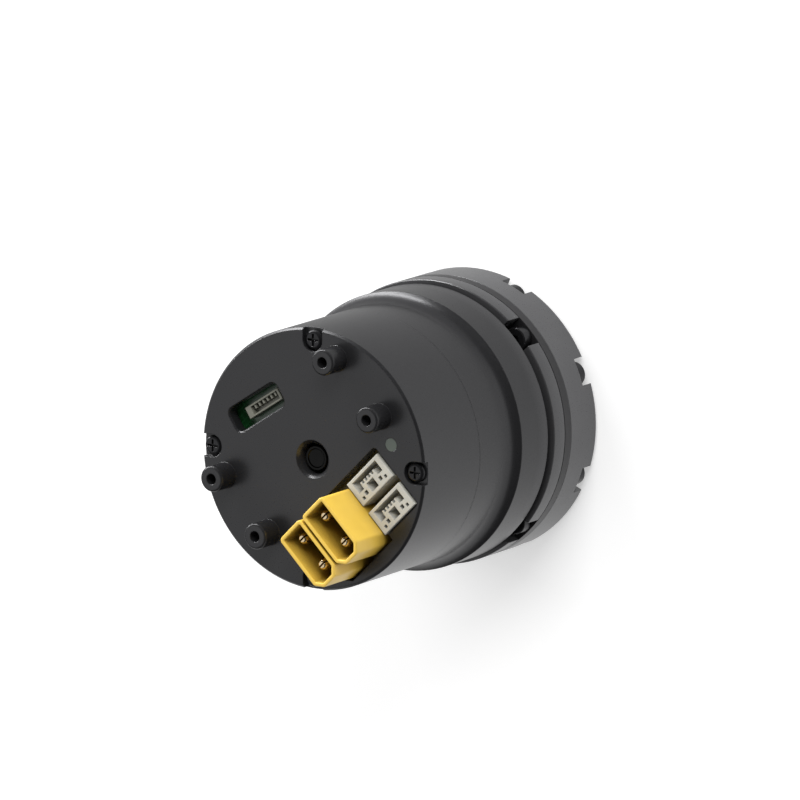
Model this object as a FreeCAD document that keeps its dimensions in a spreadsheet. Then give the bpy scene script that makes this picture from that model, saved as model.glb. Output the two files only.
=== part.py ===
import FreeCAD, Part

import math
import os
from types import SimpleNamespace

import Sketcher

# Robot joint actuator: a frameless motor, a strain wave gear and a crossed-roller output bearing in one
# stepped round housing.  The axis is Z.  Z = 0 is the output face, and +Z runs to the rear cover, so the
# part stands on its output side.  Lengths are millimetres, angles are degrees.

SIZES = {
    # Housing, from the output face to the rear face
    "flange_proud": 0.5,
    "front_ring_length": 7.15,
    "spline_flange_thickness": 1.65,
    "gear_flange_thickness": 3.05,
    "groove_width": 0.7,
    "mid_ring_length": 7.55,
    "cove_length": 3.0,
    "barrel_length": 6.35,
    "rear_cover_length": 15.25,
    "front_stack_radius": 22.0,
    "mid_ring_radius": 21.5,
    "barrel_radius": 20.0,
    "cove_arc_radius": 3.75,
    "edge_chamfer": 0.35,
    "stack_chamfer": 0.15,
    # Rear cover
    "cover_wall": 1.5,
    "cover_plate_thickness": 2.0,
    "centre_hole_radius": 2.4,
    "centre_countersink_radius": 2.95,
    "centre_countersink_depth": 0.7,
    "cover_screw_circle_radius": 18.2,
    "cover_screw_first_angle": 45.0,
    "cover_screw_count": 4,
    "cover_column_radius": 1.75,
    "cover_screw_shank_radius": 0.8,
    "cover_screw_head_radius": 1.5,
    "cover_screw_head_height": 0.85,
    "cover_screw_head_rounding": 0.5,
    "cross_recess_span": 1.9,
    "cross_recess_width": 0.36,
    "cross_recess_depth": 0.6,
    "cover_screw_grip": 4.0,
    "screw_pocket_radius": 1.75,
    "screw_pocket_depth": 1.0,
    "screw_hole_clearance": 0.1,
    # Standoffs on the rear cover
    "standoff_radius": 2.0,
    "standoff_height": 3.75,
    "standoff_edge_radius": 0.4,
    "standoff_hole_radius": 0.85,
    "standoff_hole_depth": 4.95,
    "standoff_spacing_across": 28.4,
    "standoff_spacing_along": 11.15,
    "standoff_centre_offset": 2.62,
    # Slot over the service connector
    "slot_centre_across": -2.1,
    "slot_centre_along": 12.2,
    "slot_turn": -13.0,
    "slot_length": 9.5,
    "slot_width": 3.4,
    "slot_corner_radius": 1.0,
    # Status light
    "light_radius": 1.0,
    "light_across": 12.66,
    "light_along": -7.26,
    # Power connectors
    "power_width": 5.2,
    "power_length": 10.2,
    "power_corner": 1.3,
    "power_wall": 0.8,
    "power_mouth_height": 7.5,
    "power_cavity_depth": 8.2,
    "power_a_across": -0.4,
    "power_b_across": -6.0,
    "power_along": -12.2,
    "power_pin_radius": 1.0,
    "power_pin_rounding": 0.6,
    "power_pin_pitch": 5.0,
    "power_pin_offset": 0.45,
    "power_pin_recess": 1.2,
    "power_pin_slit": 0.3,
    "power_pin_slit_depth": 4.5,
    "power_pin_tail": 0.8,
    # Signal connectors
    "signal_width": 7.6,
    "signal_depth": 4.2,
    "signal_rise": 0.4,
    "signal_across": 6.1,
    "signal_a_along": -8.8,
    "signal_b_along": -14.3,
    "signal_end_wall": 0.75,
    "signal_side_wall": 0.55,
    "signal_key_wall": 1.1,
    "signal_cavity_depth": 2.7,
    "signal_tongue_width": 3.7,
    "signal_tongue_reach": 2.1,
    "signal_window_width": 1.4,
    "signal_window_depth": 0.95,
    "contact_width": 0.3,
    "contact_pitch": 0.75,
    "contact_count": 5,
    "contact_reach": 0.4,
    "contact_drop": 0.35,
    # Opening round the connectors
    "opening_power_gap": 0.4,
    "opening_signal_gap": 0.25,
    "opening_top_gap": 1.15,
    "opening_corner_radius": 0.6,
    # Circuit boards
    "board_thickness": 1.2,
    "board_radius": 18.2,
    "interface_board_depth": 2.9,
    "driver_board_height": 5.85,
    "board_centre_radius": 3.0,
    "board_notch_radius": 2.0,
    "spacer_circle_radius": 14.2,
    "spacer_angle_a": 20.0,
    "spacer_angle_b": 140.0,
    "spacer_angle_c": 210.0,
    "spacer_radius": 1.4,
    "board_screw_radius": 0.75,
    "board_screw_head_radius": 1.35,
    "board_screw_head_height": 0.7,
    "board_screw_grip": 1.1,
    "service_length": 6.9,
    "service_depth": 2.5,
    "service_height": 1.6,
    "service_wall": 0.5,
    "service_cavity_depth": 1.1,
    "service_contact_pitch": 0.62,
    "service_contact_count": 7,
    "chip_height": 0.9,
    "controller_side": 7.0,
    "controller_across": -10.0,
    "controller_along": 0.0,
    "transistor_side": 3.3,
    "transistor_circle_radius": 10.8,
    "transistor_first_angle": 232.0,
    "transistor_spread": 120.0,
    "transistor_count": 6,
    "capacitor_radius": 1.6,
    "capacitor_height": 2.2,
    "capacitor_circle_radius": 10.6,
    "capacitor_first_angle": 95.0,
    "capacitor_spread": 50.0,
    "capacitor_count": 3,
    "link_length": 8.0,
    "link_depth": 2.6,
    "link_along": 6.2,
    "sensor_side": 3.0,
    "sensor_height": 0.5,
    "sensor_across": 4.9,
    "light_chip_side": 1.2,
    "light_chip_height": 0.5,
    # Encoder
    "encoder_magnet_radius": 4.4,
    "encoder_magnet_thickness": 1.4,
    "encoder_gap": 0.35,
    # Motor
    "end_bell_spigot_radius": 17.1,
    "end_bell_spigot_depth": 1.0,
    "end_bell_thickness": 1.2,
    "end_bell_clearance": 0.1,
    "bearing_boss_radius": 8.2,
    "stator_radius": 16.8,
    "stator_bore_radius": 10.2,
    "stator_yoke_thickness": 2.0,
    "stator_tooth_width": 2.6,
    "stator_tooth_count": 12,
    "stator_shoe_thickness": 0.9,
    "stator_shoe_gap": 1.3,
    "stator_shoe_slope": 0.35,
    "stator_tooth_root": 1.0,
    "fit_clearance": 0.02,
    "stator_length": 8.0,
    "stator_end_space": 1.55,
    "coil_thickness": 1.2,
    "coil_radial_length": 3.0,
    "coil_yoke_gap": 0.3,
    "coil_corner_radius": 0.5,
    "air_gap": 0.3,
    "magnet_thickness": 1.6,
    "magnet_count": 14,
    "magnet_gap": 0.35,
    "rotor_hub_overhang": 0.3,
    "hub_hole_radius": 1.2,
    "hub_hole_circle_radius": 5.9,
    "hub_hole_count": 6,
    "phase_pin_radius": 0.5,
    "phase_hole_radius": 0.9,
    "phase_circle_radius": 12.6,
    "phase_first_angle": 256.0,
    "phase_spread": 28.0,
    "phase_count": 3,
    # Shaft and its ball bearings
    "shaft_radius": 3.0,
    "shaft_hub_radius": 3.6,
    "shaft_tail_radius": 2.0,
    "shaft_tail_depth": 1.7,
    "shaft_edge": 0.3,
    "ball_bearing_radius": 6.5,
    "ball_bearing_width": 3.5,
    "ball_radius": 1.1,
    "ball_clearance": 0.05,
    "ball_count": 7,
    "race_half_gap": 0.6,
    "bearing_lip_radius": 5.3,
    "bearing_lip_thickness": 1.0,
    # Gear housing
    "neck_step": 0.1,
    "gear_spigot_radius": 12.8,
    "gear_spigot_length": 1.8,
    "gear_wall_gap": 0.3,
    "window_width": 5.0,
    "window_inset": 4.1,
    "window_count": 4,
    "motor_front_flange_thickness": 2.0,
    "gear_screw_circle_radius": 14.8,
    "gear_screw_count": 6,
    "gear_screw_first_angle": 30.0,
    # M2 socket-head screws, used on the window, rim and gear circles
    "socket_head_radius": 1.9,
    "socket_head_height": 2.0,
    "socket_shank_radius": 0.85,
    "socket_hex_width": 1.5,
    "socket_hex_depth": 1.0,
    "socket_hole_radius": 1.2,
    "tapped_hole_radius": 0.85,
    "stack_screw_inset": 2.1,
    "rim_screw_count": 8,
    "rim_screw_first_angle": 22.5,
    "notch_width": 4.25,
    "notch_depth": 2.4,
    "screw_engagement": 2.4,
    # Strain wave gear
    "tooth_module": 0.2,
    "flexspline_tooth_count": 100,
    "spline_tooth_count": 102,
    "tooth_addendum": 0.14,
    "tooth_dedendum": 0.17,
    "tooth_half_width": 0.145,
    "tooth_flank_angle": 30.0,
    "tooth_face_width": 3.8,
    "spline_body_radius": 12.0,
    "spline_body_length": 3.9,
    "tooth_end_offset": 0.2,
    "flexspline_wall": 0.33,
    "flexspline_tooth_step": 0.05,
    "diaphragm_thickness": 0.6,
    "diaphragm_boss_radius": 8.4,
    "diaphragm_hole_radius": 2.6,
    "membrane_thickness": 0.35,
    "clamp_ring_thickness": 0.8,
    "flexspline_screw_circle_radius": 6.6,
    "flexspline_screw_count": 6,
    "flexspline_screw_head_radius": 1.6,
    "flexspline_screw_head_height": 1.2,
    "flexspline_screw_grip": 1.3,
    "wave_race_thickness": 0.55,
    "wave_ball_radius": 0.72,
    "wave_ball_clearance": 0.03,
    "wave_ball_count": 20,
    "wave_bearing_width": 2.6,
    "cam_width": 3.2,
    "cam_washer_thickness": 0.6,
    "cam_washer_radius": 4.4,
    "cam_shaft_recess": 0.1,
    "spacer_sleeve_radius": 3.9,
    "seal_clearance": 0.05,
    # Output flange and crossed-roller bearing
    "flange_disc_inset": 1.0,
    "flange_disc_thickness": 2.7,
    "flange_web_thickness": 2.8,
    "flange_chamfer": 0.3,
    "pilot_radius": 5.0,
    "pilot_depth": 1.2,
    "hub_inner_radius": 10.2,
    "hub_end_gap": 0.45,
    "output_bolt_circle_radius": 12.0,
    "output_bolt_hole_radius": 1.25,
    "output_bolt_hole_depth": 5.0,
    "output_bolt_count": 8,
    "outer_race_depth": 3.0,
    "roller_radius": 1.0,
    "roller_length": 1.9,
    "roller_clearance": 0.02,
    "roller_count": 24,
    "race_gap": 0.3,
    "front_ring_wall": 3.7,
    "bearing_seat_offset": 2.6,
    "front_lip_height": 1.1,
    "output_seal_clearance": 0.05,
    "output_seal_recess": 0.3,
    # Threaded holes in the front rim
    "rim_hole_radius": 1.025,
    "rim_hole_depth": 4.5,
    "rim_hole_count": 4,
    "rim_hole_first_angle": 45.0,
}

Z_AXIS = FreeCAD.Vector(0, 0, 1)
LEFT = 1
RIGHT = -1

# How far a cutter reaches past the surface that it opens
OVERCUT = 1.0
# An even wall at a corner cut at 45 degrees: the inner cut is this share of the wall shorter
MITRE_SHARE = 2 - math.sqrt(2)

document = FreeCAD.newDocument("joint_actuator")
nodes = []


# ---------------------------------------------------------------------------------------------- sizes


class Size:
    """A number read from the sheet, or worked out from such numbers, with the formula that gives it."""

    def __init__(self, number, formula):
        self.number = float(number)
        self.formula = formula

    def __add__(self, other):
        other = as_size(other)
        return Size(self.number + other.number, f"({self.formula} + {other.formula})")

    def __sub__(self, other):
        other = as_size(other)
        return Size(self.number - other.number, f"({self.formula} - {other.formula})")

    def __mul__(self, other):
        other = as_size(other)
        return Size(self.number * other.number, f"({self.formula} * {other.formula})")

    def __truediv__(self, other):
        other = as_size(other)
        return Size(self.number / other.number, f"({self.formula} / {other.formula})")

    def __neg__(self):
        return Size(-self.number, f"(-1 * {self.formula})")

    def __radd__(self, other):
        return as_size(other) + self

    def __rsub__(self, other):
        return as_size(other) - self

    def __rmul__(self, other):
        return as_size(other) * self


def as_size(value):
    return value if isinstance(value, Size) else Size(value, f"{value:g}")


def cosine(angle):
    return Size(math.cos(math.radians(angle.number)), f"cos({angle.formula})")


def sine(angle):
    return Size(math.sin(math.radians(angle.number)), f"sin({angle.formula})")


def on_circle(radius, angle):
    """The point at an angle on a circle about the axis."""
    return radius * cosine(angle), radius * sine(angle)


def make_sheet():
    sheet = document.addObject("Spreadsheet::Sheet", "Sizes")
    for row, (alias, value) in enumerate(SIZES.items(), start=1):
        sheet.set(f"A{row}", alias)
        sheet.set(f"B{row}", str(value))
        sheet.setAlias(f"B{row}", alias)
    document.recompute()
    return SimpleNamespace(**{alias: Size(sheet.get(alias), f"Sizes.{alias}") for alias in SIZES})


size = make_sheet()

# Heights along the axis, from the output face
rim_z = as_size(0) + size.flange_proud
spline_z = rim_z + size.front_ring_length
gear_z = spline_z + size.spline_flange_thickness
groove_z = gear_z + size.gear_flange_thickness
mid_z = groove_z + size.groove_width
cove_z = mid_z + size.mid_ring_length
barrel_z = cove_z + size.cove_length
seam_z = barrel_z + size.barrel_length
rear_z = seam_z + size.rear_cover_length
plate_z = rear_z - size.cover_plate_thickness
end_bell_z = seam_z + size.end_bell_thickness
interface_top_z = rear_z - size.interface_board_depth
interface_z = interface_top_z - size.board_thickness
driver_z = end_bell_z + size.driver_board_height
driver_top_z = driver_z + size.board_thickness
power_mouth_z = rear_z + size.power_mouth_height
signal_top_z = rear_z + size.signal_rise
cover_inner_radius = size.barrel_radius - size.cover_wall
bearing_z = rim_z + size.bearing_seat_offset
roller_z = (bearing_z + spline_z) * 0.5
tooth_start_z = gear_z - size.tooth_end_offset
tooth_end_z = tooth_start_z + size.tooth_face_width
spline_end_z = gear_z + size.spline_body_length
web_z = spline_end_z + size.gear_wall_gap
front_bearing_z = web_z + size.bearing_lip_thickness
front_bearing_end_z = front_bearing_z + size.ball_bearing_width
stator_end_z = seam_z - size.end_bell_spigot_depth - size.stator_end_space
stator_z = stator_end_z - size.stator_length
rear_bearing_z = seam_z - size.end_bell_spigot_depth + size.bearing_lip_thickness
rear_bearing_end_z = rear_bearing_z + size.ball_bearing_width
shaft_tail_z = rear_z - size.shaft_tail_depth
sensor_z = driver_z - size.sensor_height
encoder_z = sensor_z - size.encoder_gap - size.encoder_magnet_thickness
cam_z = (tooth_start_z + tooth_end_z) * 0.5 - size.cam_width * 0.5
cam_end_z = cam_z + size.cam_width
wave_bearing_z = (tooth_start_z + tooth_end_z) * 0.5 - size.wave_bearing_width * 0.5

# Radii that mating pieces share
pitch_radius = size.tooth_module * size.flexspline_tooth_count * 0.5
wave_height = (size.spline_tooth_count - size.flexspline_tooth_count) * size.tooth_module * 0.5
spline_pitch_radius = pitch_radius + wave_height
flexspline_outer_radius = pitch_radius - size.tooth_dedendum
flexspline_inner_radius = flexspline_outer_radius - size.flexspline_wall
wave_outer_race_radius = flexspline_inner_radius - size.wave_race_thickness
wave_ball_circle_radius = wave_outer_race_radius - size.wave_ball_clearance - size.wave_ball_radius
wave_inner_race_radius = wave_ball_circle_radius - size.wave_ball_radius - size.wave_ball_clearance
cam_radius = wave_inner_race_radius - size.wave_race_thickness
magnet_radius = size.stator_bore_radius - size.air_gap
rotor_hub_radius = magnet_radius - size.magnet_thickness
ball_circle_radius = (size.shaft_radius + size.ball_bearing_radius) * 0.5
stack_screw_circle_radius = size.front_stack_radius - size.stack_screw_inset
window_floor_radius = size.front_stack_radius - size.window_inset
neck_radius = window_floor_radius - size.neck_step
outer_race_radius = size.front_stack_radius - size.front_ring_wall
front_lip_radius = outer_race_radius - size.front_lip_height
flange_disc_radius = front_lip_radius - size.flange_disc_inset
roller_circle_radius = outer_race_radius - size.outer_race_depth
notch_floor_z = rim_z + size.notch_depth


# ------------------------------------------------------------------------------- drawing and features


def new_body(name, turn=None):
    """A body for one node; a turn about the axis brings its first copy to where it belongs."""
    body = document.addObject("PartDesign::Body", name)
    body.Label = name
    if turn is not None:
        body.Placement = FreeCAD.Placement(FreeCAD.Vector(), FreeCAD.Rotation(Z_AXIS, turn.number))
        body.setExpression("Placement.Rotation.Angle", turn.formula)
    nodes.append(body)
    return body


def origin_part(body, role):
    return next(part for part in body.Origin.OriginFeatures if part.Role == role)


def new_sketch(body, plane, across=0, along=0, height=0, turn=0):
    """A sketch on an origin plane, moved by across, along and height in that plane's own directions."""
    sketch = body.newObject("Sketcher::SketchObject", f"{body.Name}_sketch")
    sketch.AttachmentSupport = (origin_part(body, plane), [""])
    sketch.MapMode = "FlatFace"
    moves = [as_size(across), as_size(along), as_size(height)]
    base = FreeCAD.Vector(*(move.number for move in moves))
    turn = as_size(turn)
    sketch.AttachmentOffset = FreeCAD.Placement(base, FreeCAD.Rotation(Z_AXIS, turn.number))
    for letter, move in zip("xyz", moves):
        sketch.setExpression(f".AttachmentOffset.Base.{letter}", move.formula)
    sketch.setExpression(".AttachmentOffset.Rotation.Angle", turn.formula)
    return sketch


def flat_sketch(body, height, across=0, along=0, turn=0):
    return new_sketch(body, "XY_Plane", across, along, height, turn)


def section_sketch(body, across=0, along=0):
    """A sketch of a half section: across is the radius from (across, along), up is Z."""
    return new_sketch(body, "XZ_Plane", across, 0, -as_size(along))


def pin_point(sketch, geometry, place, across, along):
    """Fix one point of a sketch to the sheet's values."""
    for kind, axis, value in (("DistanceX", -2, across), ("DistanceY", -1, along)):
        value = as_size(value)
        if value.formula == "0":
            sketch.addConstraint(Sketcher.Constraint("PointOnObject", geometry, place, axis))
        else:
            index = sketch.addConstraint(
                Sketcher.Constraint(kind, -1, 1, geometry, place, value.number)
            )
            sketch.setExpression(f"Constraints[{index}]", value.formula)


def set_radius(sketch, geometry, radius):
    radius = as_size(radius)
    index = sketch.addConstraint(Sketcher.Constraint("Radius", geometry, radius.number))
    sketch.setExpression(f"Constraints[{index}]", radius.formula)


def arc_between(start, end, radius, side):
    """The short arc from start to end that turns to the given side."""
    chord = end - start
    middle = (start + end) * 0.5
    rise = math.sqrt(max(radius * radius - chord.Length * chord.Length / 4, 0.0))
    normal = FreeCAD.Vector(-chord.y, chord.x, 0) * (side / chord.Length)
    centre = middle + normal * rise
    first, last = (start, end) if side == LEFT else (end, start)
    angles = [math.atan2(point.y - centre.y, point.x - centre.x) for point in (first, last)]
    return Part.ArcOfCircle(Part.Circle(centre, Z_AXIS, radius), angles[0], angles[1])


def draw_loop(sketch, points):
    """A closed loop through points.  A point with a radius and a side starts an arc, else a line."""
    first = sketch.GeometryCount
    places = []
    for index, point in enumerate(points):
        following = points[(index + 1) % len(points)]
        start, end = (
            FreeCAD.Vector(as_size(corner[0]).number, as_size(corner[1]).number, 0)
            for corner in (point, following)
        )
        if len(point) == 4:
            sketch.addGeometry(arc_between(start, end, as_size(point[2]).number, point[3]), False)
            places.append((1, 2) if point[3] == LEFT else (2, 1))
        else:
            sketch.addGeometry(Part.LineSegment(start, end), False)
            places.append((1, 2))
    for index, point in enumerate(points):
        following = (index + 1) % len(points)
        joint = Sketcher.Constraint(
            "Coincident", first + index, places[index][1], first + following, places[following][0]
        )
        sketch.addConstraint(joint)
        pin_point(sketch, first + index, places[index][0], point[0], point[1])
        if len(point) == 4:
            set_radius(sketch, first + index, point[2])


def draw_circle(sketch, across, along, radius):
    centre = FreeCAD.Vector(as_size(across).number, as_size(along).number, 0)
    geometry = sketch.addGeometry(Part.Circle(centre, Z_AXIS, as_size(radius).number), False)
    pin_point(sketch, geometry, 3, across, along)
    set_radius(sketch, geometry, radius)


def rectangle(across, along, width, depth):
    """Corners of a rectangle about a centre, anticlockwise from the lower left."""
    left, right = across - width * 0.5, across + width * 0.5
    near, far = along - depth * 0.5, along + depth * 0.5
    return [(left, near), (right, near), (right, far), (left, far)]


def rounded_rectangle(across, along, width, depth, radius):
    left, right = across - width * 0.5, across + width * 0.5
    near, far = along - depth * 0.5, along + depth * 0.5
    return [
        (left + radius, near),
        (right - radius, near, radius, LEFT),
        (right, near + radius),
        (right, far - radius, radius, LEFT),
        (right - radius, far),
        (left + radius, far, radius, LEFT),
        (left, far - radius),
        (left, near + radius, radius, LEFT),
    ]


def revolve(body, sketch):
    feature = body.newObject("PartDesign::Revolution", f"{body.Name}_revolution")
    feature.Profile = sketch
    feature.ReferenceAxis = (sketch, ["V_Axis"])
    feature.Angle = 360
    return feature


def extrude(body, sketch, length, kind="Pad"):
    """Pad away from the sketch along its normal, or Pocket against it."""
    feature = body.newObject(f"PartDesign::{kind}", f"{body.Name}_{kind.lower()}")
    feature.Profile = sketch
    length = as_size(length)
    feature.Length = length.number
    feature.setExpression("Length", length.formula)
    return feature


def pocket(body, sketch, depth):
    return extrude(body, sketch, depth, "Pocket")


def pattern(body, features, count, spread=None):
    """Copies of features about the axis, over the whole turn or over a spread of degrees."""
    feature = body.newObject("PartDesign::PolarPattern", f"{body.Name}_pattern")
    feature.Originals = features
    feature.Axis = (origin_part(body, "Z_Axis"), [""])
    feature.Angle = 360 if spread is None else spread.number
    if spread is not None:
        feature.setExpression("Angle", spread.formula)
    feature.Occurrences = int(count.number)
    feature.setExpression("Occurrences", count.formula)
    body.Tip = feature
    return feature


def drill_circle(body, circle_radius, first_angle, count, radius, from_z, depth):
    """A circle of holes that go down from a height."""
    sketch = flat_sketch(body, from_z, turn=first_angle)
    draw_circle(sketch, circle_radius, 0, radius)
    return pattern(body, [pocket(body, sketch, depth)], count)


def drill_circle_up(body, circle_radius, first_angle, count, radius, from_z, depth):
    """A circle of holes that go up from a height."""
    sketch = flat_sketch(body, from_z, turn=first_angle)
    draw_circle(sketch, circle_radius, 0, radius)
    hole = pocket(body, sketch, depth)
    hole.Reversed = True
    return pattern(body, [hole], count)


def turned_part(name, points, turn=None):
    """A body of revolution about the axis from its half section (radius, height)."""
    body = new_body(name, turn)
    sketch = section_sketch(body)
    draw_loop(sketch, points)
    revolve(body, sketch)
    return body


def ring_section(inner, outer, low, high):
    return [(inner, low), (outer, low), (outer, high), (inner, high)]


def shape_node(name, shape):
    feature = document.addObject("Part::Feature", name)
    feature.Label = name
    feature.Shape = shape
    feature.Placement = FreeCAD.Placement()
    nodes.append(feature)
    return feature


# ------------------------------------------------------------------------------------------ fasteners


def socket_screws(name, circle_radius, first_angle, count, seat_z, head_side, length):
    """Socket-head screws on a circle.  head_side is 1 with the head above its seat, -1 below it."""
    body = new_body(name, first_angle)
    sketch = section_sketch(body, circle_radius)
    head_z = seat_z + size.socket_head_height * head_side
    tip_z = seat_z - length * head_side
    chamfer = size.stack_chamfer
    points = [
        (0, tip_z),
        (size.socket_shank_radius, tip_z),
        (size.socket_shank_radius, seat_z),
        (size.socket_head_radius, seat_z),
        (size.socket_head_radius, head_z - chamfer * head_side),
        (size.socket_head_radius - chamfer, head_z),
        (0, head_z),
    ]
    draw_loop(sketch, points)
    screw = revolve(body, sketch)
    socket = flat_sketch(body, head_z, circle_radius)
    draw_loop(socket, hexagon(size.socket_hex_width))
    recess = pocket(body, socket, size.socket_hex_depth)
    recess.Reversed = head_side < 0
    pattern(body, [screw, recess], count)
    return body


def hexagon(width):
    """Corners of a hexagon of a given width across flats."""
    corner = width * (1 / math.sqrt(3))
    half = corner * 0.5
    flat = width * 0.5
    return [
        (corner, 0),
        (half, flat),
        (-half, flat),
        (-corner, 0),
        (-half, -flat),
        (half, -flat),
    ]


def make_cover_screws():
    """Cross-recess screws that run down the cover's columns into the motor housing."""
    body = new_body("cover_screws", size.cover_screw_first_angle)
    sketch = section_sketch(body, size.cover_screw_circle_radius)
    seat_z = rear_z - size.screw_pocket_depth
    head_z = seat_z + size.cover_screw_head_height
    rounding = size.cover_screw_head_rounding
    points = [
        (0, seam_z - size.cover_screw_grip),
        (size.cover_screw_shank_radius, seam_z - size.cover_screw_grip),
        (size.cover_screw_shank_radius, seat_z),
        (size.cover_screw_head_radius, seat_z),
        (size.cover_screw_head_radius, head_z - rounding, rounding, LEFT),
        (size.cover_screw_head_radius - rounding, head_z),
        (0, head_z),
    ]
    draw_loop(sketch, points)
    screw = revolve(body, sketch)
    cross = flat_sketch(body, head_z, size.cover_screw_circle_radius)
    draw_loop(cross, cross_recess(size.cross_recess_span, size.cross_recess_width))
    recess = pocket(body, cross, size.cross_recess_depth)
    pattern(body, [screw, recess], size.cover_screw_count)
    return body


def cross_recess(span, width):
    """Corners of a plus sign."""
    far, near = span * 0.5, width * 0.5
    return [
        (near, near),
        (near, far),
        (-near, far),
        (-near, near),
        (-far, near),
        (-far, -near),
        (-near, -near),
        (-near, -far),
        (near, -far),
        (near, -near),
        (far, -near),
        (far, near),
    ]


# ----------------------------------------------------------------------------------------- rear cover


def standoff_places():
    half_across = size.standoff_spacing_across * 0.5
    half_along = size.standoff_spacing_along * 0.5
    for across_sign in (-1, 1):
        for along_sign in (-1, 1):
            yield half_across * across_sign, size.standoff_centre_offset + half_along * along_sign


def opening_outline():
    """The connector opening: it follows the connectors with a gap, inside the cover's rim."""
    gap = size.opening_power_gap
    corner = size.opening_corner_radius
    top = size.signal_a_along + size.signal_depth * 0.5 + size.opening_top_gap
    left = size.power_b_across - size.power_width * 0.5 - gap
    right = size.signal_across + size.signal_width * 0.5 + size.opening_signal_gap
    bottom = size.power_along - size.power_length * 0.5 - gap
    signal_bottom = size.signal_b_along - size.signal_depth * 0.5 - size.opening_signal_gap
    step = size.power_a_across + size.power_width * 0.5 + gap
    slant = size.power_corner + gap * MITRE_SHARE
    return [
        (left, bottom + slant),
        (left + slant, bottom),
        (step, bottom),
        (step, signal_bottom),
        (right - corner, signal_bottom, corner, LEFT),
        (right, signal_bottom + corner),
        (right, top - corner, corner, LEFT),
        (right - corner, top),
        (left + corner, top, corner, LEFT),
        (left, top - corner),
    ]


def make_rear_cover():
    """A cup with a thick end plate, four screw columns, four standoffs and the connector opening."""
    chamfer = size.edge_chamfer
    body = turned_part(
        "rear_cover",
        [
            (size.centre_hole_radius, plate_z),
            (cover_inner_radius, plate_z),
            (cover_inner_radius, seam_z),
            (size.barrel_radius, seam_z),
            (size.barrel_radius, rear_z - chamfer),
            (size.barrel_radius - chamfer, rear_z),
            (size.centre_countersink_radius, rear_z),
            (size.centre_hole_radius, rear_z - size.centre_countersink_depth),
        ],
    )
    column = flat_sketch(body, end_bell_z, turn=size.cover_screw_first_angle)
    draw_circle(column, size.cover_screw_circle_radius, 0, size.cover_column_radius)
    pattern(body, [extrude(body, column, plate_z - end_bell_z)], size.cover_screw_count)
    for across, along in standoff_places():
        standoff = section_sketch(body, across, along)
        edge = size.standoff_edge_radius
        top_z = rear_z + size.standoff_height
        draw_loop(
            standoff,
            [
                (0, plate_z),
                (size.standoff_radius, plate_z),
                (size.standoff_radius, top_z - edge, edge, LEFT),
                (size.standoff_radius - edge, top_z),
                (0, top_z),
            ],
        )
        revolve(body, standoff)
    holes = flat_sketch(body, rear_z + size.standoff_height)
    for across, along in standoff_places():
        draw_circle(holes, across, along, size.standoff_hole_radius)
    pocket(body, holes, size.standoff_hole_depth)
    through = size.cover_plate_thickness
    opening = flat_sketch(body, rear_z)
    draw_loop(opening, opening_outline())
    pocket(body, opening, size.interface_board_depth)
    slot = flat_sketch(body, rear_z, size.slot_centre_across, size.slot_centre_along, size.slot_turn)
    corners = rounded_rectangle(as_size(0), as_size(0), size.slot_length, size.slot_width,
                                size.slot_corner_radius)
    draw_loop(slot, corners)
    pocket(body, slot, through)
    light = flat_sketch(body, rear_z)
    draw_circle(light, size.light_across, size.light_along, size.light_radius)
    pocket(body, light, through)
    head = flat_sketch(body, rear_z, turn=size.cover_screw_first_angle)
    radius = size.screw_pocket_radius
    outside = size.barrel_radius + radius
    draw_loop(
        head,
        [
            (size.cover_screw_circle_radius, -radius),
            (outside, -radius),
            (outside, radius),
            (size.cover_screw_circle_radius, radius, radius, LEFT),
            (size.cover_screw_circle_radius - radius, 0, radius, LEFT),
        ],
    )
    pattern(body, [pocket(body, head, size.screw_pocket_depth)], size.cover_screw_count)
    drill_circle(
        body,
        size.cover_screw_circle_radius,
        size.cover_screw_first_angle,
        size.cover_screw_count,
        size.cover_screw_shank_radius + size.screw_hole_clearance,
        rear_z,
        size.rear_cover_length,
    )
    return body


# ---------------------------------------------------------------------------- connectors and circuits


def power_outline(across, inset):
    """A power connector's outline: square at one end, both corners cut at the other."""
    left = across - size.power_width * 0.5 + inset
    right = across + size.power_width * 0.5 - inset
    far = size.power_along + size.power_length * 0.5 - inset
    near = size.power_along - size.power_length * 0.5 + inset
    corner = size.power_corner - inset * MITRE_SHARE
    return [
        (left, near + corner),
        (left + corner, near),
        (right - corner, near),
        (right, near + corner),
        (right, far),
        (left, far),
    ]


def power_pin_places():
    for across in (size.power_a_across, size.power_b_across):
        for sign in (-1, 1):
            yield across, size.power_along + size.power_pin_offset + size.power_pin_pitch * 0.5 * sign


def make_power_connector(name, across):
    body = new_body(name)
    shell = flat_sketch(body, interface_top_z)
    draw_loop(shell, power_outline(across, as_size(0)))
    extrude(body, shell, power_mouth_z - interface_top_z)
    cavity = flat_sketch(body, power_mouth_z)
    draw_loop(cavity, power_outline(across, size.power_wall))
    pocket(body, cavity, size.power_cavity_depth)
    bores = flat_sketch(body, power_mouth_z)
    for pin_across, pin_along in power_pin_places():
        if pin_across is across:
            draw_circle(bores, pin_across, pin_along, size.power_pin_radius)
    pocket(body, bores, power_mouth_z - interface_top_z)
    return body


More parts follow.
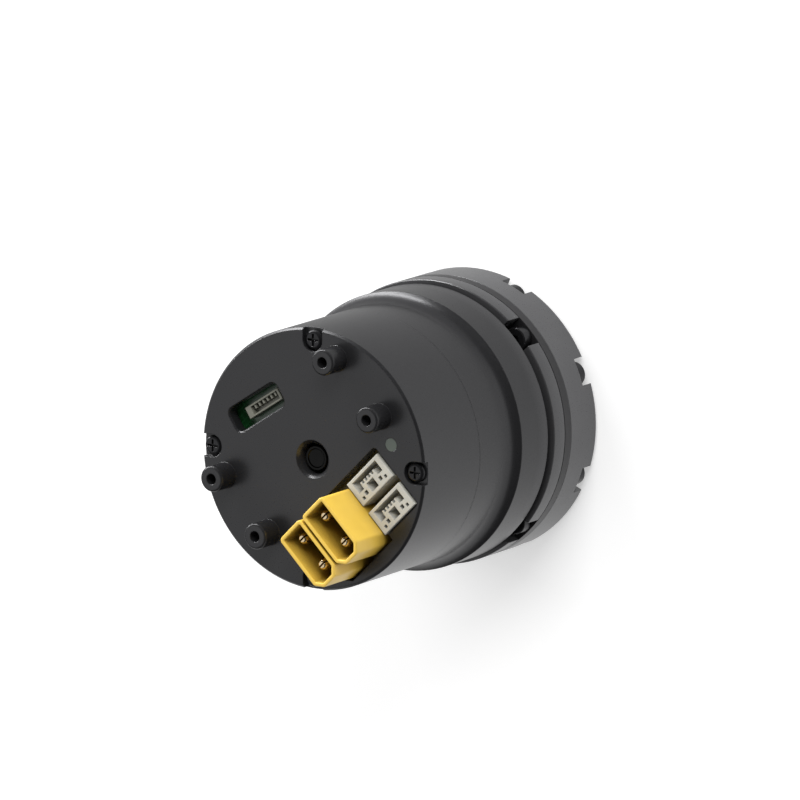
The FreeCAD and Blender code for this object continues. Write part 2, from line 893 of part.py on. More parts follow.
def make_power_pins():
    """Split round pins: each runs from under the board to just below the connector's mouth."""
    body = new_body("power_pins")
    radius = size.power_pin_radius
    top_z = power_mouth_z - size.power_pin_recess
    tail_z = interface_z - size.power_pin_tail
    rounding = size.power_pin_rounding
    for across, along in power_pin_places():
        sketch = section_sketch(body, across, along)
        draw_loop(
            sketch,
            [
                (0, tail_z),
                (radius, tail_z),
                (radius, top_z - rounding, rounding, LEFT),
                (radius - rounding, top_z),
                (0, top_z),
            ],
        )
        revolve(body, sketch)
    slits = flat_sketch(body, top_z)
    for across, along in power_pin_places():
        draw_loop(slits, rectangle(across, along, radius * 2 + size.power_pin_slit, size.power_pin_slit))
    pocket(body, slits, size.power_pin_slit_depth)
    return body


def make_signal_connector(name, along):
    """A shrouded socket with a tongue, a latch window and end walls."""
    across = size.signal_across
    body = new_body(name)
    block = flat_sketch(body, interface_top_z)
    draw_loop(block, rectangle(across, along, size.signal_width, size.signal_depth))
    extrude(body, block, signal_top_z - interface_top_z)
    left = across - size.signal_width * 0.5 + size.signal_end_wall
    right = across + size.signal_width * 0.5 - size.signal_end_wall
    far = along + size.signal_depth * 0.5 - size.signal_side_wall
    near = along - size.signal_depth * 0.5 + size.signal_key_wall
    tongue_left = across - size.signal_tongue_width * 0.5
    tongue_right = across + size.signal_tongue_width * 0.5
    tongue_far = near + size.signal_tongue_reach - size.contact_reach
    cavity = flat_sketch(body, signal_top_z)
    draw_loop(
        cavity,
        [
            (left, near),
            (tongue_left, near),
            (tongue_left, tongue_far),
            (tongue_right, tongue_far),
            (tongue_right, near),
            (right, near),
            (right, far),
            (left, far),
        ],
    )
    pocket(body, cavity, size.signal_cavity_depth)
    window = flat_sketch(body, signal_top_z)
    window_along = near + size.signal_window_depth * 0.5
    draw_loop(window, rectangle(across, window_along, size.signal_window_width, size.signal_window_depth))
    pocket(body, window, size.signal_cavity_depth)
    return body


def row_steps(count):
    """How many pitches each contact of a row is from the row's middle."""
    middle = (int(count.number) - 1) / 2
    return [index - middle for index in range(int(count.number))]


def make_signal_contacts():
    """Two rows of contact blades on the far edges of the tongues."""
    body = new_body("signal_contacts")
    for along in (size.signal_a_along, size.signal_b_along):
        near = along - size.signal_depth * 0.5 + size.signal_key_wall
        blade_near = near + size.signal_tongue_reach - size.contact_reach
        row = flat_sketch(body, signal_top_z - size.signal_cavity_depth)
        for step in row_steps(size.contact_count):
            place = size.signal_across + size.contact_pitch * step
            blade_along = blade_near + size.contact_reach * 0.5
            draw_loop(row, rectangle(place, blade_along, size.contact_width, size.contact_reach))
        blades = extrude(body, row, size.signal_cavity_depth - size.contact_drop)
    body.Tip = blades
    return body


def make_service_connector():
    """The small socket behind the slot, with its cavity open to the rear."""
    body = new_body("service_connector")
    turn = size.slot_turn
    places = (size.slot_centre_across, size.slot_centre_along, turn)
    block = flat_sketch(body, interface_top_z, *places)
    zero = as_size(0)
    draw_loop(block, rectangle(zero, zero, size.service_length, size.service_depth))
    extrude(body, block, size.service_height)
    cavity = flat_sketch(body, interface_top_z + size.service_height, *places)
    width = size.service_length - size.service_wall * 2
    depth = size.service_depth - size.service_wall * 2
    draw_loop(cavity, rectangle(zero, zero, width, depth))
    pocket(body, cavity, size.service_cavity_depth)
    return body


def make_service_contacts():
    body = new_body("service_contacts")
    floor_z = interface_top_z + size.service_height - size.service_cavity_depth
    row = flat_sketch(body, floor_z, size.slot_centre_across, size.slot_centre_along, size.slot_turn)
    along = size.service_depth * 0.5 - size.service_wall - size.contact_reach * 0.5
    for step in row_steps(size.service_contact_count):
        place = size.service_contact_pitch * step
        draw_loop(row, rectangle(place, along, size.contact_width, size.contact_reach))
    extrude(body, row, size.service_cavity_depth - size.contact_drop)
    return body


def spacer_places():
    for angle in (size.spacer_angle_a, size.spacer_angle_b, size.spacer_angle_c):
        yield on_circle(size.spacer_circle_radius, angle)


def make_board(name, low_z):
    """A round circuit board with notches for the cover's columns."""
    top_z = low_z + size.board_thickness
    body = turned_part(name, ring_section(size.board_centre_radius, size.board_radius, low_z, top_z))
    drill_circle(
        body,
        size.cover_screw_circle_radius,
        size.cover_screw_first_angle,
        size.cover_screw_count,
        size.board_notch_radius,
        top_z,
        size.board_thickness,
    )
    holes = flat_sketch(body, top_z)
    for across, along in spacer_places():
        draw_circle(holes, across, along, size.board_screw_radius + size.screw_hole_clearance)
    pocket(body, holes, size.board_thickness)
    return body


def make_interface_board():
    body = make_board("interface_board", interface_z)
    pads = flat_sketch(body, interface_top_z)
    for across, along in power_pin_places():
        draw_circle(pads, across, along, size.power_pin_radius)
    pocket(body, pads, size.board_thickness)
    return body


def make_board_spacers():
    body = new_body("board_spacers")
    bore = size.board_screw_radius + size.screw_hole_clearance
    for low_z, high_z in ((end_bell_z, driver_z), (driver_top_z, interface_z)):
        for across, along in spacer_places():
            sketch = section_sketch(body, across, along)
            draw_loop(sketch, ring_section(bore, size.spacer_radius, low_z, high_z))
            revolve(body, sketch)
    return body


def make_board_screws():
    body = new_body("board_screws")
    for across, along in spacer_places():
        sketch = section_sketch(body, across, along)
        tip_z = end_bell_z - size.board_screw_grip
        head_z = interface_top_z + size.board_screw_head_height
        draw_loop(
            sketch,
            [
                (0, tip_z),
                (size.board_screw_radius, tip_z),
                (size.board_screw_radius, interface_top_z),
                (size.board_screw_head_radius, interface_top_z),
                (size.board_screw_head_radius, head_z),
                (0, head_z),
            ],
        )
        revolve(body, sketch)
    return body


def make_block(name, low_z, height, across, along, width, depth):
    body = new_body(name)
    sketch = flat_sketch(body, low_z)
    draw_loop(sketch, rectangle(across, along, width, depth))
    extrude(body, sketch, height)
    return body


def make_electronics():
    zero = as_size(0)
    make_block(
        "controller_chip",
        interface_z - size.chip_height,
        size.chip_height,
        size.controller_across,
        size.controller_along,
        size.controller_side,
        size.controller_side,
    )
    make_block("board_link", driver_top_z, interface_z - driver_top_z, zero, size.link_along,
               size.link_length, size.link_depth)
    make_block("encoder_sensor", sensor_z, size.sensor_height, size.sensor_across, zero,
               size.sensor_side, size.sensor_side)
    make_block("status_light", interface_top_z, size.light_chip_height, size.light_across,
               size.light_along, size.light_chip_side, size.light_chip_side)
    transistors = new_body("power_transistors", size.transistor_first_angle)
    sketch = flat_sketch(transistors, driver_top_z)
    side = size.transistor_side
    draw_loop(sketch, rectangle(size.transistor_circle_radius, zero, side, side))
    chip = extrude(transistors, sketch, size.chip_height)
    pattern(transistors, [chip], size.transistor_count, size.transistor_spread)
    capacitors = new_body("capacitors", size.capacitor_first_angle)
    can = flat_sketch(capacitors, driver_top_z)
    draw_circle(can, size.capacitor_circle_radius, 0, size.capacitor_radius)
    can_pad = extrude(capacitors, can, size.capacitor_height)
    pattern(capacitors, [can_pad], size.capacitor_count, size.capacitor_spread)
    pins = new_body("phase_terminals", size.phase_first_angle)
    pin = flat_sketch(pins, stator_end_z + size.coil_thickness)
    draw_circle(pin, size.phase_circle_radius, 0, size.phase_pin_radius)
    pin_pad = extrude(pins, pin, driver_z - stator_end_z - size.coil_thickness)
    pattern(pins, [pin_pad], size.phase_count, size.phase_spread)


def make_light_pipe():
    body = new_body("status_light_pipe")
    low_z = interface_top_z + size.light_chip_height
    sketch = flat_sketch(body, low_z)
    draw_circle(sketch, size.light_across, size.light_along, size.light_radius)
    extrude(body, sketch, rear_z - low_z)
    return body


# ----------------------------------------------------------------------------------------------- motor


def make_motor_housing():
    """The barrel, the concave cove and the mid ring, with the flange that the gear housing joins."""
    chamfer = size.edge_chamfer
    flange_z = mid_z + size.motor_front_flange_thickness
    seat_z = seam_z - size.end_bell_spigot_depth
    body = turned_part(
        "motor_housing",
        [
            (size.gear_spigot_radius, mid_z),
            (size.mid_ring_radius - chamfer, mid_z),
            (size.mid_ring_radius, mid_z + chamfer),
            (size.mid_ring_radius, cove_z, size.cove_arc_radius, RIGHT),
            (size.barrel_radius, barrel_z),
            (size.barrel_radius, seam_z),
            (size.end_bell_spigot_radius + size.fit_clearance, seam_z),
            (size.end_bell_spigot_radius + size.fit_clearance, seat_z),
            (size.stator_radius + size.fit_clearance, seat_z),
            (size.stator_radius + size.fit_clearance, flange_z),
            (size.gear_spigot_radius, flange_z),
        ],
    )
    drill_circle(
        body,
        size.gear_screw_circle_radius,
        size.gear_screw_first_angle,
        size.gear_screw_count,
        size.socket_hole_radius,
        flange_z,
        size.motor_front_flange_thickness,
    )
    drill_circle(
        body,
        size.cover_screw_circle_radius,
        size.cover_screw_first_angle,
        size.cover_screw_count,
        size.cover_screw_shank_radius,
        seam_z,
        size.cover_screw_grip,
    )
    return body


def make_end_bell():
    """The rear bearing bracket: it sits in the motor housing and is clamped by the cover's columns."""
    radius = cover_inner_radius - size.end_bell_clearance
    low_z = seam_z - size.end_bell_spigot_depth
    boss_z = rear_bearing_end_z
    body = turned_part(
        "motor_end_bell",
        [
            (size.bearing_lip_radius, low_z),
            (size.end_bell_spigot_radius, low_z),
            (size.end_bell_spigot_radius, seam_z),
            (radius, seam_z),
            (radius, end_bell_z),
            (size.bearing_boss_radius, end_bell_z),
            (size.bearing_boss_radius, boss_z),
            (size.ball_bearing_radius, boss_z),
            (size.ball_bearing_radius, rear_bearing_z),
            (size.bearing_lip_radius, rear_bearing_z),
        ],
    )
    thickness = end_bell_z - low_z
    drill_circle(
        body,
        size.cover_screw_circle_radius,
        size.cover_screw_first_angle,
        size.cover_screw_count,
        size.cover_screw_shank_radius + size.screw_hole_clearance,
        end_bell_z,
        thickness,
    )
    holes = flat_sketch(body, end_bell_z)
    for across, along in spacer_places():
        draw_circle(holes, across, along, size.board_screw_radius)
    pocket(body, holes, size.board_screw_grip)
    phase = flat_sketch(body, end_bell_z, turn=size.phase_first_angle)
    draw_circle(phase, size.phase_circle_radius, 0, size.phase_hole_radius)
    pattern(body, [pocket(body, phase, thickness)], size.phase_count, size.phase_spread)
    return body


def make_stator_core():
    """A yoke with inward teeth; each tooth ends in a shoe that follows the bore."""
    yoke_inner = size.stator_radius - size.stator_yoke_thickness
    body = turned_part("stator_core", ring_section(yoke_inner, size.stator_radius, stator_z, stator_end_z))
    tooth = flat_sketch(body, stator_z)
    half = size.stator_tooth_width * 0.5
    bore = size.stator_bore_radius
    shoe = bore + size.stator_shoe_thickness
    root = yoke_inner + size.stator_tooth_root
    share = as_size(180) / size.stator_tooth_count
    shoe_half = bore * sine(share) - size.stator_shoe_gap * 0.5
    shoe_angle = Size(
        math.degrees(math.asin(shoe_half.number / bore.number)),
        f"asin({shoe_half.formula} / {bore.formula})",
    )
    tip_across = bore * cosine(shoe_angle)
    draw_loop(
        tooth,
        [
            (tip_across, -shoe_half, bore, LEFT),
            (tip_across, shoe_half),
            (shoe, shoe_half),
            (shoe + size.stator_shoe_slope, half),
            (root, half),
            (root, -half),
            (shoe + size.stator_shoe_slope, -half),
            (shoe, -shoe_half),
        ],
    )
    pattern(body, [extrude(body, tooth, size.stator_length)], size.stator_tooth_count)
    return body


def make_windings():
    """One coil round each stator tooth."""
    body = new_body("stator_windings")
    yoke_inner = size.stator_radius - size.stator_yoke_thickness
    start = yoke_inner - size.coil_yoke_gap - size.coil_radial_length
    sketch = new_sketch(body, "YZ_Plane", height=start)
    middle = (stator_z + stator_end_z) * 0.5
    zero = as_size(0)
    wide = size.stator_tooth_width + size.coil_thickness * 2
    tall = size.stator_length + size.coil_thickness * 2
    draw_loop(sketch, rounded_rectangle(zero, middle, wide, tall, size.coil_corner_radius))
    draw_loop(sketch, rectangle(zero, middle, size.stator_tooth_width, size.stator_length))
    pattern(body, [extrude(body, sketch, size.coil_radial_length)], size.stator_tooth_count)
    return body


def make_rotor():
    low_z = stator_z - size.rotor_hub_overhang
    high_z = stator_end_z + size.rotor_hub_overhang
    shaft_front_z = cam_z + size.cam_shaft_recess
    edge = size.shaft_edge
    shaft = turned_part(
        "rotor_shaft",
        [
            (0, shaft_front_z),
            (size.shaft_radius - edge, shaft_front_z),
            (size.shaft_radius, shaft_front_z + edge),
            (size.shaft_radius, front_bearing_end_z),
            (size.shaft_hub_radius, front_bearing_end_z),
            (size.shaft_hub_radius, rear_bearing_z),
            (size.shaft_radius, rear_bearing_z),
            (size.shaft_radius, rear_bearing_end_z),
            (size.shaft_tail_radius, rear_bearing_end_z),
            (size.shaft_tail_radius, shaft_tail_z - edge, edge, LEFT),
            (size.shaft_tail_radius - edge, shaft_tail_z),
            (0, shaft_tail_z),
        ],
    )
    thread = flat_sketch(shaft, shaft_front_z)
    draw_circle(thread, 0, 0, size.socket_shank_radius)
    hole = pocket(shaft, thread, size.screw_engagement + size.cam_washer_thickness)
    hole.Reversed = True
    hub = turned_part("rotor_hub", ring_section(size.shaft_hub_radius, rotor_hub_radius, low_z, high_z))
    drill_circle(
        hub,
        size.hub_hole_circle_radius,
        as_size(0),
        size.hub_hole_count,
        size.hub_hole_radius,
        high_z,
        high_z - low_z,
    )
    magnets = new_body("rotor_magnets")
    sketch = flat_sketch(magnets, stator_z)
    half_share = as_size(180) / size.magnet_count
    half_gap = Size(
        math.degrees(size.magnet_gap.number * 0.5 / magnet_radius.number),
        f"({size.magnet_gap.formula} * 0.5 / {magnet_radius.formula} * 180 / pi)",
    )
    angle = half_share - half_gap
    inner = on_circle(rotor_hub_radius, angle)
    outer = on_circle(magnet_radius, angle)
    draw_loop(
        sketch,
        [
            (inner[0], -inner[1]),
            (outer[0], -outer[1], magnet_radius, LEFT),
            (outer[0], outer[1]),
            (inner[0], inner[1], rotor_hub_radius, RIGHT),
        ],
    )
    pattern(magnets, [extrude(magnets, sketch, size.stator_length)], size.magnet_count)
    turned_part(
        "encoder_magnet",
        ring_section(
            size.shaft_tail_radius,
            size.encoder_magnet_radius,
            encoder_z,
            encoder_z + size.encoder_magnet_thickness,
        ),
    )


def make_ball_bearing(name, low_z):
    """The rings of a deep-groove ball bearing; the balls are a node of their own."""
    high_z = low_z + size.ball_bearing_width
    middle = (low_z + high_z) * 0.5
    groove = size.ball_radius + size.ball_clearance
    reach = Size(
        math.sqrt(groove.number**2 - size.race_half_gap.number**2),
        f"sqrt({groove.formula} ^ 2 - {size.race_half_gap.formula} ^ 2)",
    )
    inner_land = ball_circle_radius - size.race_half_gap
    outer_land = ball_circle_radius + size.race_half_gap
    turned_part(
        f"{name}_inner_ring",
        [
            (size.shaft_radius, low_z),
            (inner_land, low_z),
            (inner_land, middle - reach, groove, RIGHT),
            (inner_land, middle + reach),
            (inner_land, high_z),
            (size.shaft_radius, high_z),
        ],
    )
    turned_part(
        f"{name}_outer_ring",
        [
            (outer_land, low_z),
            (size.ball_bearing_radius, low_z),
            (size.ball_bearing_radius, high_z),
            (outer_land, high_z),
            (outer_land, middle + reach, groove, RIGHT),
            (outer_land, middle - reach),
        ],
    )
    balls = []
    for index in range(int(size.ball_count.number)):
        angle = 2 * math.pi * index / size.ball_count.number
        centre = FreeCAD.Vector(math.cos(angle), math.sin(angle), 0) * ball_circle_radius.number
        centre.z = middle.number
        balls.append(Part.makeSphere(size.ball_radius.number, centre))
    shape_node(f"{name}_balls", Part.makeCompound(balls))


# -------------------------------------------------------------------------------- gear and gear housing


def make_gear_housing():
    """A flange with four windows, a neck, and a web that carries the front motor bearing."""
    chamfer = size.stack_chamfer
    spigot_z = mid_z + size.gear_spigot_length
    body = turned_part(
        "gear_housing",
        [
            (size.spline_body_radius, gear_z),
            (size.front_stack_radius - chamfer, gear_z),
            (size.front_stack_radius, gear_z + chamfer),
            (size.front_stack_radius, groove_z - chamfer),
            (size.front_stack_radius - chamfer, groove_z),
            (neck_radius, groove_z),
            (neck_radius, mid_z),
            (size.gear_spigot_radius, mid_z),
            (size.gear_spigot_radius, spigot_z),
            (size.bearing_boss_radius, spigot_z),
            (size.bearing_boss_radius, front_bearing_end_z),
            (size.ball_bearing_radius, front_bearing_end_z),
            (size.ball_bearing_radius, front_bearing_z),
            (size.bearing_lip_radius, front_bearing_z),
            (size.bearing_lip_radius, web_z),
            (size.spline_body_radius, web_z),
        ],
    )
    window = flat_sketch(body, groove_z)
    reach = size.window_inset + OVERCUT
    centre = window_floor_radius + reach * 0.5
    draw_loop(window, rectangle(centre, as_size(0), reach, size.window_width))
    pattern(body, [pocket(body, window, size.gear_flange_thickness)], size.window_count)
    drill_circle_up(
        body,
        stack_screw_circle_radius,
        size.rim_screw_first_angle,
        size.rim_screw_count,
        size.tapped_hole_radius,
        gear_z,
        size.screw_engagement,
    )
    drill_circle(
        body,
        size.gear_screw_circle_radius,
        size.gear_screw_first_angle,
        size.gear_screw_count,
        size.tapped_hole_radius,
        mid_z,
        size.screw_engagement,
    )
    return body


def prism(wires, low_z, height):
    """The solid between an outer wire and its holes, drawn at height zero."""
    face = Part.makeFace(wires, "Part::FaceMakerBullseye")
    face.translate(FreeCAD.Vector(0, 0, low_z))
    return face.extrude(FreeCAD.Vector(0, 0, height))


def circle_wire(radius, across=0.0, along=0.0):
    circle = Part.Circle(FreeCAD.Vector(across, along, 0), Z_AXIS, radius)
    return Part.Wire(circle.toShape())


def wave_wire(radius, wave):
    """An ellipse, the shape that the cam gives to a round ring of this radius."""
    centre = FreeCAD.Vector()
    return Part.Wire(Part.Ellipse(centre, radius + wave, radius - wave).toShape())


def tooth_corners(tip_out):
    """One tooth as (height from the pitch line, half width), root to tip and back."""
    slope = math.tan(math.radians(size.tooth_flank_angle.number))
    half = size.tooth_half_width.number
    addendum = size.tooth_addendum.number
    dedendum = size.tooth_dedendum.number
    root = (-dedendum * tip_out, half + dedendum * slope)
    tip = (addendum * tip_out, half - addendum * slope)
    return [(root[0], -root[1]), (tip[0], -tip[1]), tip, root]


def spline_tooth_wire():
    """The closed outline of the circular spline's internal teeth."""
    count = int(size.spline_tooth_count.number)
    radius = spline_pitch_radius.number
    points = []
    for index in range(count):
        middle = 2 * math.pi * (index + 0.5) / count
        for rise, side in tooth_corners(-1):
            angle = middle + side / radius
            points.append(FreeCAD.Vector(math.cos(angle), math.sin(angle), 0) * (radius + rise))
    return Part.makePolygon(points + points[:1])


def flexspline_tooth_wire():
    """The flexspline's teeth, carried round the ellipse.

    A tooth at angle a of the round ring moves out by w cos 2a and back along the ring by half of w sin 2a,
    which keeps the wall's length, and it leans by three halves of w sin 2a over the wall's radius.
    """
    count = int(size.flexspline_tooth_count.number)
    wall = (flexspline_inner_radius.number + flexspline_outer_radius.number) * 0.5
    wave = wave_height.number
    lift = pitch_radius.number - wall
    points = []
    for index in range(count):
        angle = 2 * math.pi * index / count
        place = angle - wave * math.sin(2 * angle) / (2 * wall)
        lean = angle + 3 * wave * math.sin(2 * angle) / (2 * wall)
        base = FreeCAD.Vector(math.cos(place), math.sin(place), 0) * (wall + wave * math.cos(2 * angle))
        outward = FreeCAD.Vector(math.cos(lean), math.sin(lean), 0)
        sideways = FreeCAD.Vector(-math.sin(lean), math.cos(lean), 0)
        for rise, side in tooth_corners(1):
            points.append(base + outward * (lift + rise) + sideways * side)
    return Part.makePolygon(points + points[:1])


def screw_holes(circle_radius, first_angle, count, radius, low_z, height):
    cutters = []
    for index in range(int(count.number)):
        angle = math.radians(first_angle.number) + 2 * math.pi * index / count.number
        base = FreeCAD.Vector(math.cos(angle), math.sin(angle), 0) * circle_radius.number
        base.z = low_z.number
        cutters.append(Part.makeCylinder(radius.number, height.number, base))
    return cutters


def make_circular_spline():
    """The fixed gear: internal teeth in a thick ring, on a flange clamped in the housing stack."""
    outside = size.front_stack_radius.number
    body_radius = size.spline_body_radius.number
    relief_radius = (spline_pitch_radius + size.tooth_dedendum + size.roller_clearance).number
    body = prism(
        [circle_wire(body_radius), spline_tooth_wire()],
        tooth_start_z.number,
        (spline_end_z - tooth_start_z).number,
    )
    floor = prism([circle_wire(outside), circle_wire(relief_radius)], spline_z.number,
                  (tooth_start_z - spline_z).number)
    flange = prism([circle_wire(outside), circle_wire(body_radius)], spline_z.number,
                   size.spline_flange_thickness.number)
    shape = body.fuse([floor, flange])
    thickness = size.spline_flange_thickness
    cutters = screw_holes(
        stack_screw_circle_radius,
        size.rim_screw_first_angle,
        size.rim_screw_count,
        size.socket_hole_radius,
        spline_z,
        thickness,
    )
    cutters += screw_holes(
        stack_screw_circle_radius,
        as_size(0),
        size.window_count,
        size.socket_hole_radius,
        spline_z,
        thickness,
    )
    shape_node("circular_spline", shape.cut(cutters))


def wave_loft(radius, heights, waves):
    """A straight-sided solid through ellipses of one mean radius; a wave of zero gives a circle."""
    wires = []
    for height, wave in zip(heights, waves):
        wire = wave_wire(radius, wave) if wave else circle_wire(radius)
        wire.translate(FreeCAD.Vector(0, 0, height))
        wires.append(wire)
    return Part.makeLoft(wires, True, True)


def make_flexspline():
    """A thin cup: clamped at its diaphragm, and bent to an ellipse at its toothed open end."""
    inner = flexspline_inner_radius.number
    outer = flexspline_outer_radius.number - size.flexspline_tooth_step.number
    wave = wave_height.number
    floor_z = size.flange_web_thickness
    membrane_z = (floor_z + size.membrane_thickness).number
    teeth_z = tooth_start_z.number
    base = FreeCAD.Vector(0, 0, floor_z.number)
    membrane = Part.makeCylinder(outer, size.membrane_thickness.number, base)
    wall = wave_loft(outer, (membrane_z, teeth_z), (0, wave))
    teeth = prism([flexspline_tooth_wire()], teeth_z, size.tooth_face_width.number)
    beyond_z = teeth_z + size.tooth_face_width.number + OVERCUT
    cavity = wave_loft(inner, (membrane_z, teeth_z, beyond_z), (0, wave, wave))
    cup = membrane.fuse([wall, teeth]).cut(cavity)
    thickness = size.diaphragm_thickness
    boss = Part.makeCylinder(size.diaphragm_boss_radius.number, thickness.number, base)
    bore = Part.makeCylinder(size.diaphragm_hole_radius.number, thickness.number, base)
    screws = screw_holes(
        size.flexspline_screw_circle_radius,
        as_size(0),
        size.flexspline_screw_count,
        size.socket_hole_radius,
        floor_z,
        thickness,
    )
    shape_node("flexspline", cup.fuse(boss).cut([bore] + screws))


def make_wave_generator():
    """The elliptical cam and its thin-ringed ball bearing."""
    wave = wave_height.number
    low_z = wave_bearing_z.number
    width = size.wave_bearing_width.number
    cam = prism([wave_wire(cam_radius.number, wave), circle_wire(size.shaft_radius.number)], cam_z.number,
                size.cam_width.number)
    shape_node("wave_generator_cam", cam)
    inner_ring = prism(
        [wave_wire(wave_inner_race_radius.number, wave), wave_wire(cam_radius.number, wave)], low_z, width
    )
    shape_node("wave_bearing_inner_ring", inner_ring)
    ring_radius = flexspline_inner_radius - size.fit_clearance
    outer_ring = prism(
        [wave_wire(ring_radius.number, wave), wave_wire(wave_outer_race_radius.number, wave)], low_z, width
    )
    shape_node("wave_bearing_outer_ring", outer_ring)
    balls = []
    count = int(size.wave_ball_count.number)
    for index in range(count):
        angle = 2 * math.pi * index / count
        radius = wave_ball_circle_radius.number + wave * math.cos(2 * angle)
        centre = FreeCAD.Vector(radius * math.cos(angle), radius * math.sin(angle), low_z + width / 2)
        balls.append(Part.makeSphere(size.wave_ball_radius.number, centre))
    shape_node("wave_bearing_balls", Part.makeCompound(balls))


def make_cam_fixings():
    turned_part(
        "cam_spacer",
        ring_section(size.shaft_radius, size.spacer_sleeve_radius, cam_end_z, front_bearing_z),
    )
    washer_z = cam_z - size.cam_washer_thickness
    turned_part(
        "cam_washer",
        ring_section(size.socket_shank_radius, size.cam_washer_radius, washer_z, cam_z),
    )
    screw = new_body("cam_screw")
    head_z = washer_z - size.socket_head_height
    sketch = section_sketch(screw)
    draw_loop(
        sketch,
        [
            (0, head_z),
            (size.socket_head_radius, head_z),
            (size.socket_head_radius, washer_z),
            (size.socket_shank_radius, washer_z),
            (size.socket_shank_radius, cam_z + size.screw_engagement),
            (0, cam_z + size.screw_engagement),
        ],
    )
    revolve(screw, sketch)
    socket = flat_sketch(screw, head_z)
    draw_loop(socket, hexagon(size.socket_hex_width))
    recess = pocket(screw, socket, size.socket_hex_depth)
    recess.Reversed = True
    turned_part(
        "motor_seal",
        ring_section(
            size.spacer_sleeve_radius + size.seal_clearance,
            size.bearing_lip_radius,
            web_z,
            front_bearing_z,
        ),
    )


# ---------------------------------------------------------------------------------------- output stage


def make_front_ring():
    """The front ring: it holds the output bearing, and its rim is notched for eight screw heads."""
    chamfer = size.stack_chamfer
    body = turned_part(
        "front_ring",
        [
            (front_lip_radius, rim_z),
            (size.front_stack_radius - chamfer, rim_z),
            (size.front_stack_radius, rim_z + chamfer),
            (size.front_stack_radius, spline_z - chamfer),
            (size.front_stack_radius - chamfer, spline_z),
            (outer_race_radius, spline_z),
            (outer_race_radius, bearing_z),
            (front_lip_radius, bearing_z),
        ],
    )
    half = size.notch_width * 0.5
    centre = stack_screw_circle_radius
    outside = size.front_stack_radius + half
    notch = flat_sketch(body, rim_z, turn=size.rim_screw_first_angle)
    draw_loop(
        notch,
        [
            (centre, -half),
            (outside, -half),
            (outside, half),
            (centre, half, half, LEFT),
            (centre - half, 0, half, LEFT),
        ],
    )
    cut = pocket(body, notch, size.notch_depth)
    cut.Reversed = True
    pattern(body, [cut], size.rim_screw_count)
    drill_circle(
        body,
        stack_screw_circle_radius,
        size.rim_screw_first_angle,
        size.rim_screw_count,
        size.socket_hole_radius,
        spline_z,
        spline_z - notch_floor_z,
    )
    drill_circle(
        body,
        stack_screw_circle_radius,
        as_size(0),
        size.window_count,
        size.tapped_hole_radius,
        spline_z,
        size.screw_engagement,
    )
    drill_circle_up(
        body,
        stack_screw_circle_radius,
        size.rim_hole_first_angle,
        size.rim_hole_count,
        size.rim_hole_radius,
        rim_z,
        size.rim_hole_depth,
    )
    return body


def roller_groove():
    """Half the diagonal of the square groove that the crossed rollers run in."""
    return (size.roller_radius + size.roller_clearance) * math.sqrt(2)


def make_output_flange():
    """The output flange, with the bearing's inner race turned into its hub."""
    groove = roller_groove()
    hub_radius = roller_circle_radius - size.race_gap * 0.5
    mouth = groove - size.race_gap * 0.5
    hub_end_z = spline_z - size.hub_end_gap
    chamfer = size.flange_chamfer
    body = turned_part(
        "output_flange",
        [
            (0, size.pilot_depth),
            (size.pilot_radius, size.pilot_depth),
            (size.pilot_radius, 0),
            (flange_disc_radius - chamfer, 0),
            (flange_disc_radius, chamfer),
            (flange_disc_radius, size.flange_disc_thickness),
            (hub_radius, size.flange_disc_thickness),
            (hub_radius, roller_z - mouth),
            (roller_circle_radius - groove, roller_z),
            (hub_radius, roller_z + mouth),
            (hub_radius, hub_end_z),
            (size.hub_inner_radius, hub_end_z),
            (size.hub_inner_radius, size.flange_web_thickness),
            (0, size.flange_web_thickness),
        ],
    )
    drill_circle_up(
        body,
        size.output_bolt_circle_radius,
        as_size(0),
        size.output_bolt_count,
        size.output_bolt_hole_radius,
        as_size(0),
        size.output_bolt_hole_depth,
    )
    drill_circle(
        body,
        size.flexspline_screw_circle_radius,
        as_size(0),
        size.flexspline_screw_count,
        size.socket_shank_radius,
        size.flange_web_thickness,
        size.flexspline_screw_grip,
    )
    return body


def make_output_bearing():
    """The split outer ring and the crossed rollers, whose axes lean in and out in turn."""
    groove = roller_groove()
    face = roller_circle_radius + size.race_gap * 0.5
    mouth = groove - size.race_gap * 0.5
    apex = roller_circle_radius + groove
    turned_part(
        "output_bearing_front_ring",
        [
            (face, bearing_z),
            (outer_race_radius, bearing_z),
            (outer_race_radius, roller_z),
            (apex, roller_z),
            (face, roller_z - mouth),
        ],
    )
    turned_part(
        "output_bearing_rear_ring",
        [
            (face, roller_z + mouth),
            (apex, roller_z),
            (outer_race_radius, roller_z),
            (outer_race_radius, spline_z),
            (face, spline_z),
        ],
    )
    rollers = []
    count = int(size.roller_count.number)
    length = size.roller_length.number
    for index in range(count):
        angle = 2 * math.pi * index / count
        outward = FreeCAD.Vector(math.cos(angle), math.sin(angle), 0)
        lean = 1 if index % 2 else -1
        axis = (outward + Z_AXIS * lean).normalize()
        centre = outward * roller_circle_radius.number
        centre.z = roller_z.number
        start = centre - axis * (length / 2)
        rollers.append(Part.makeCylinder(size.roller_radius.number, length, start, axis))
    shape_node("output_bearing_rollers", Part.makeCompound(rollers))
    turned_part(
        "output_seal",
        ring_section(
            flange_disc_radius + size.output_seal_clearance,
            front_lip_radius,
            rim_z + size.output_seal_recess,
            bearing_z,
        ),
    )


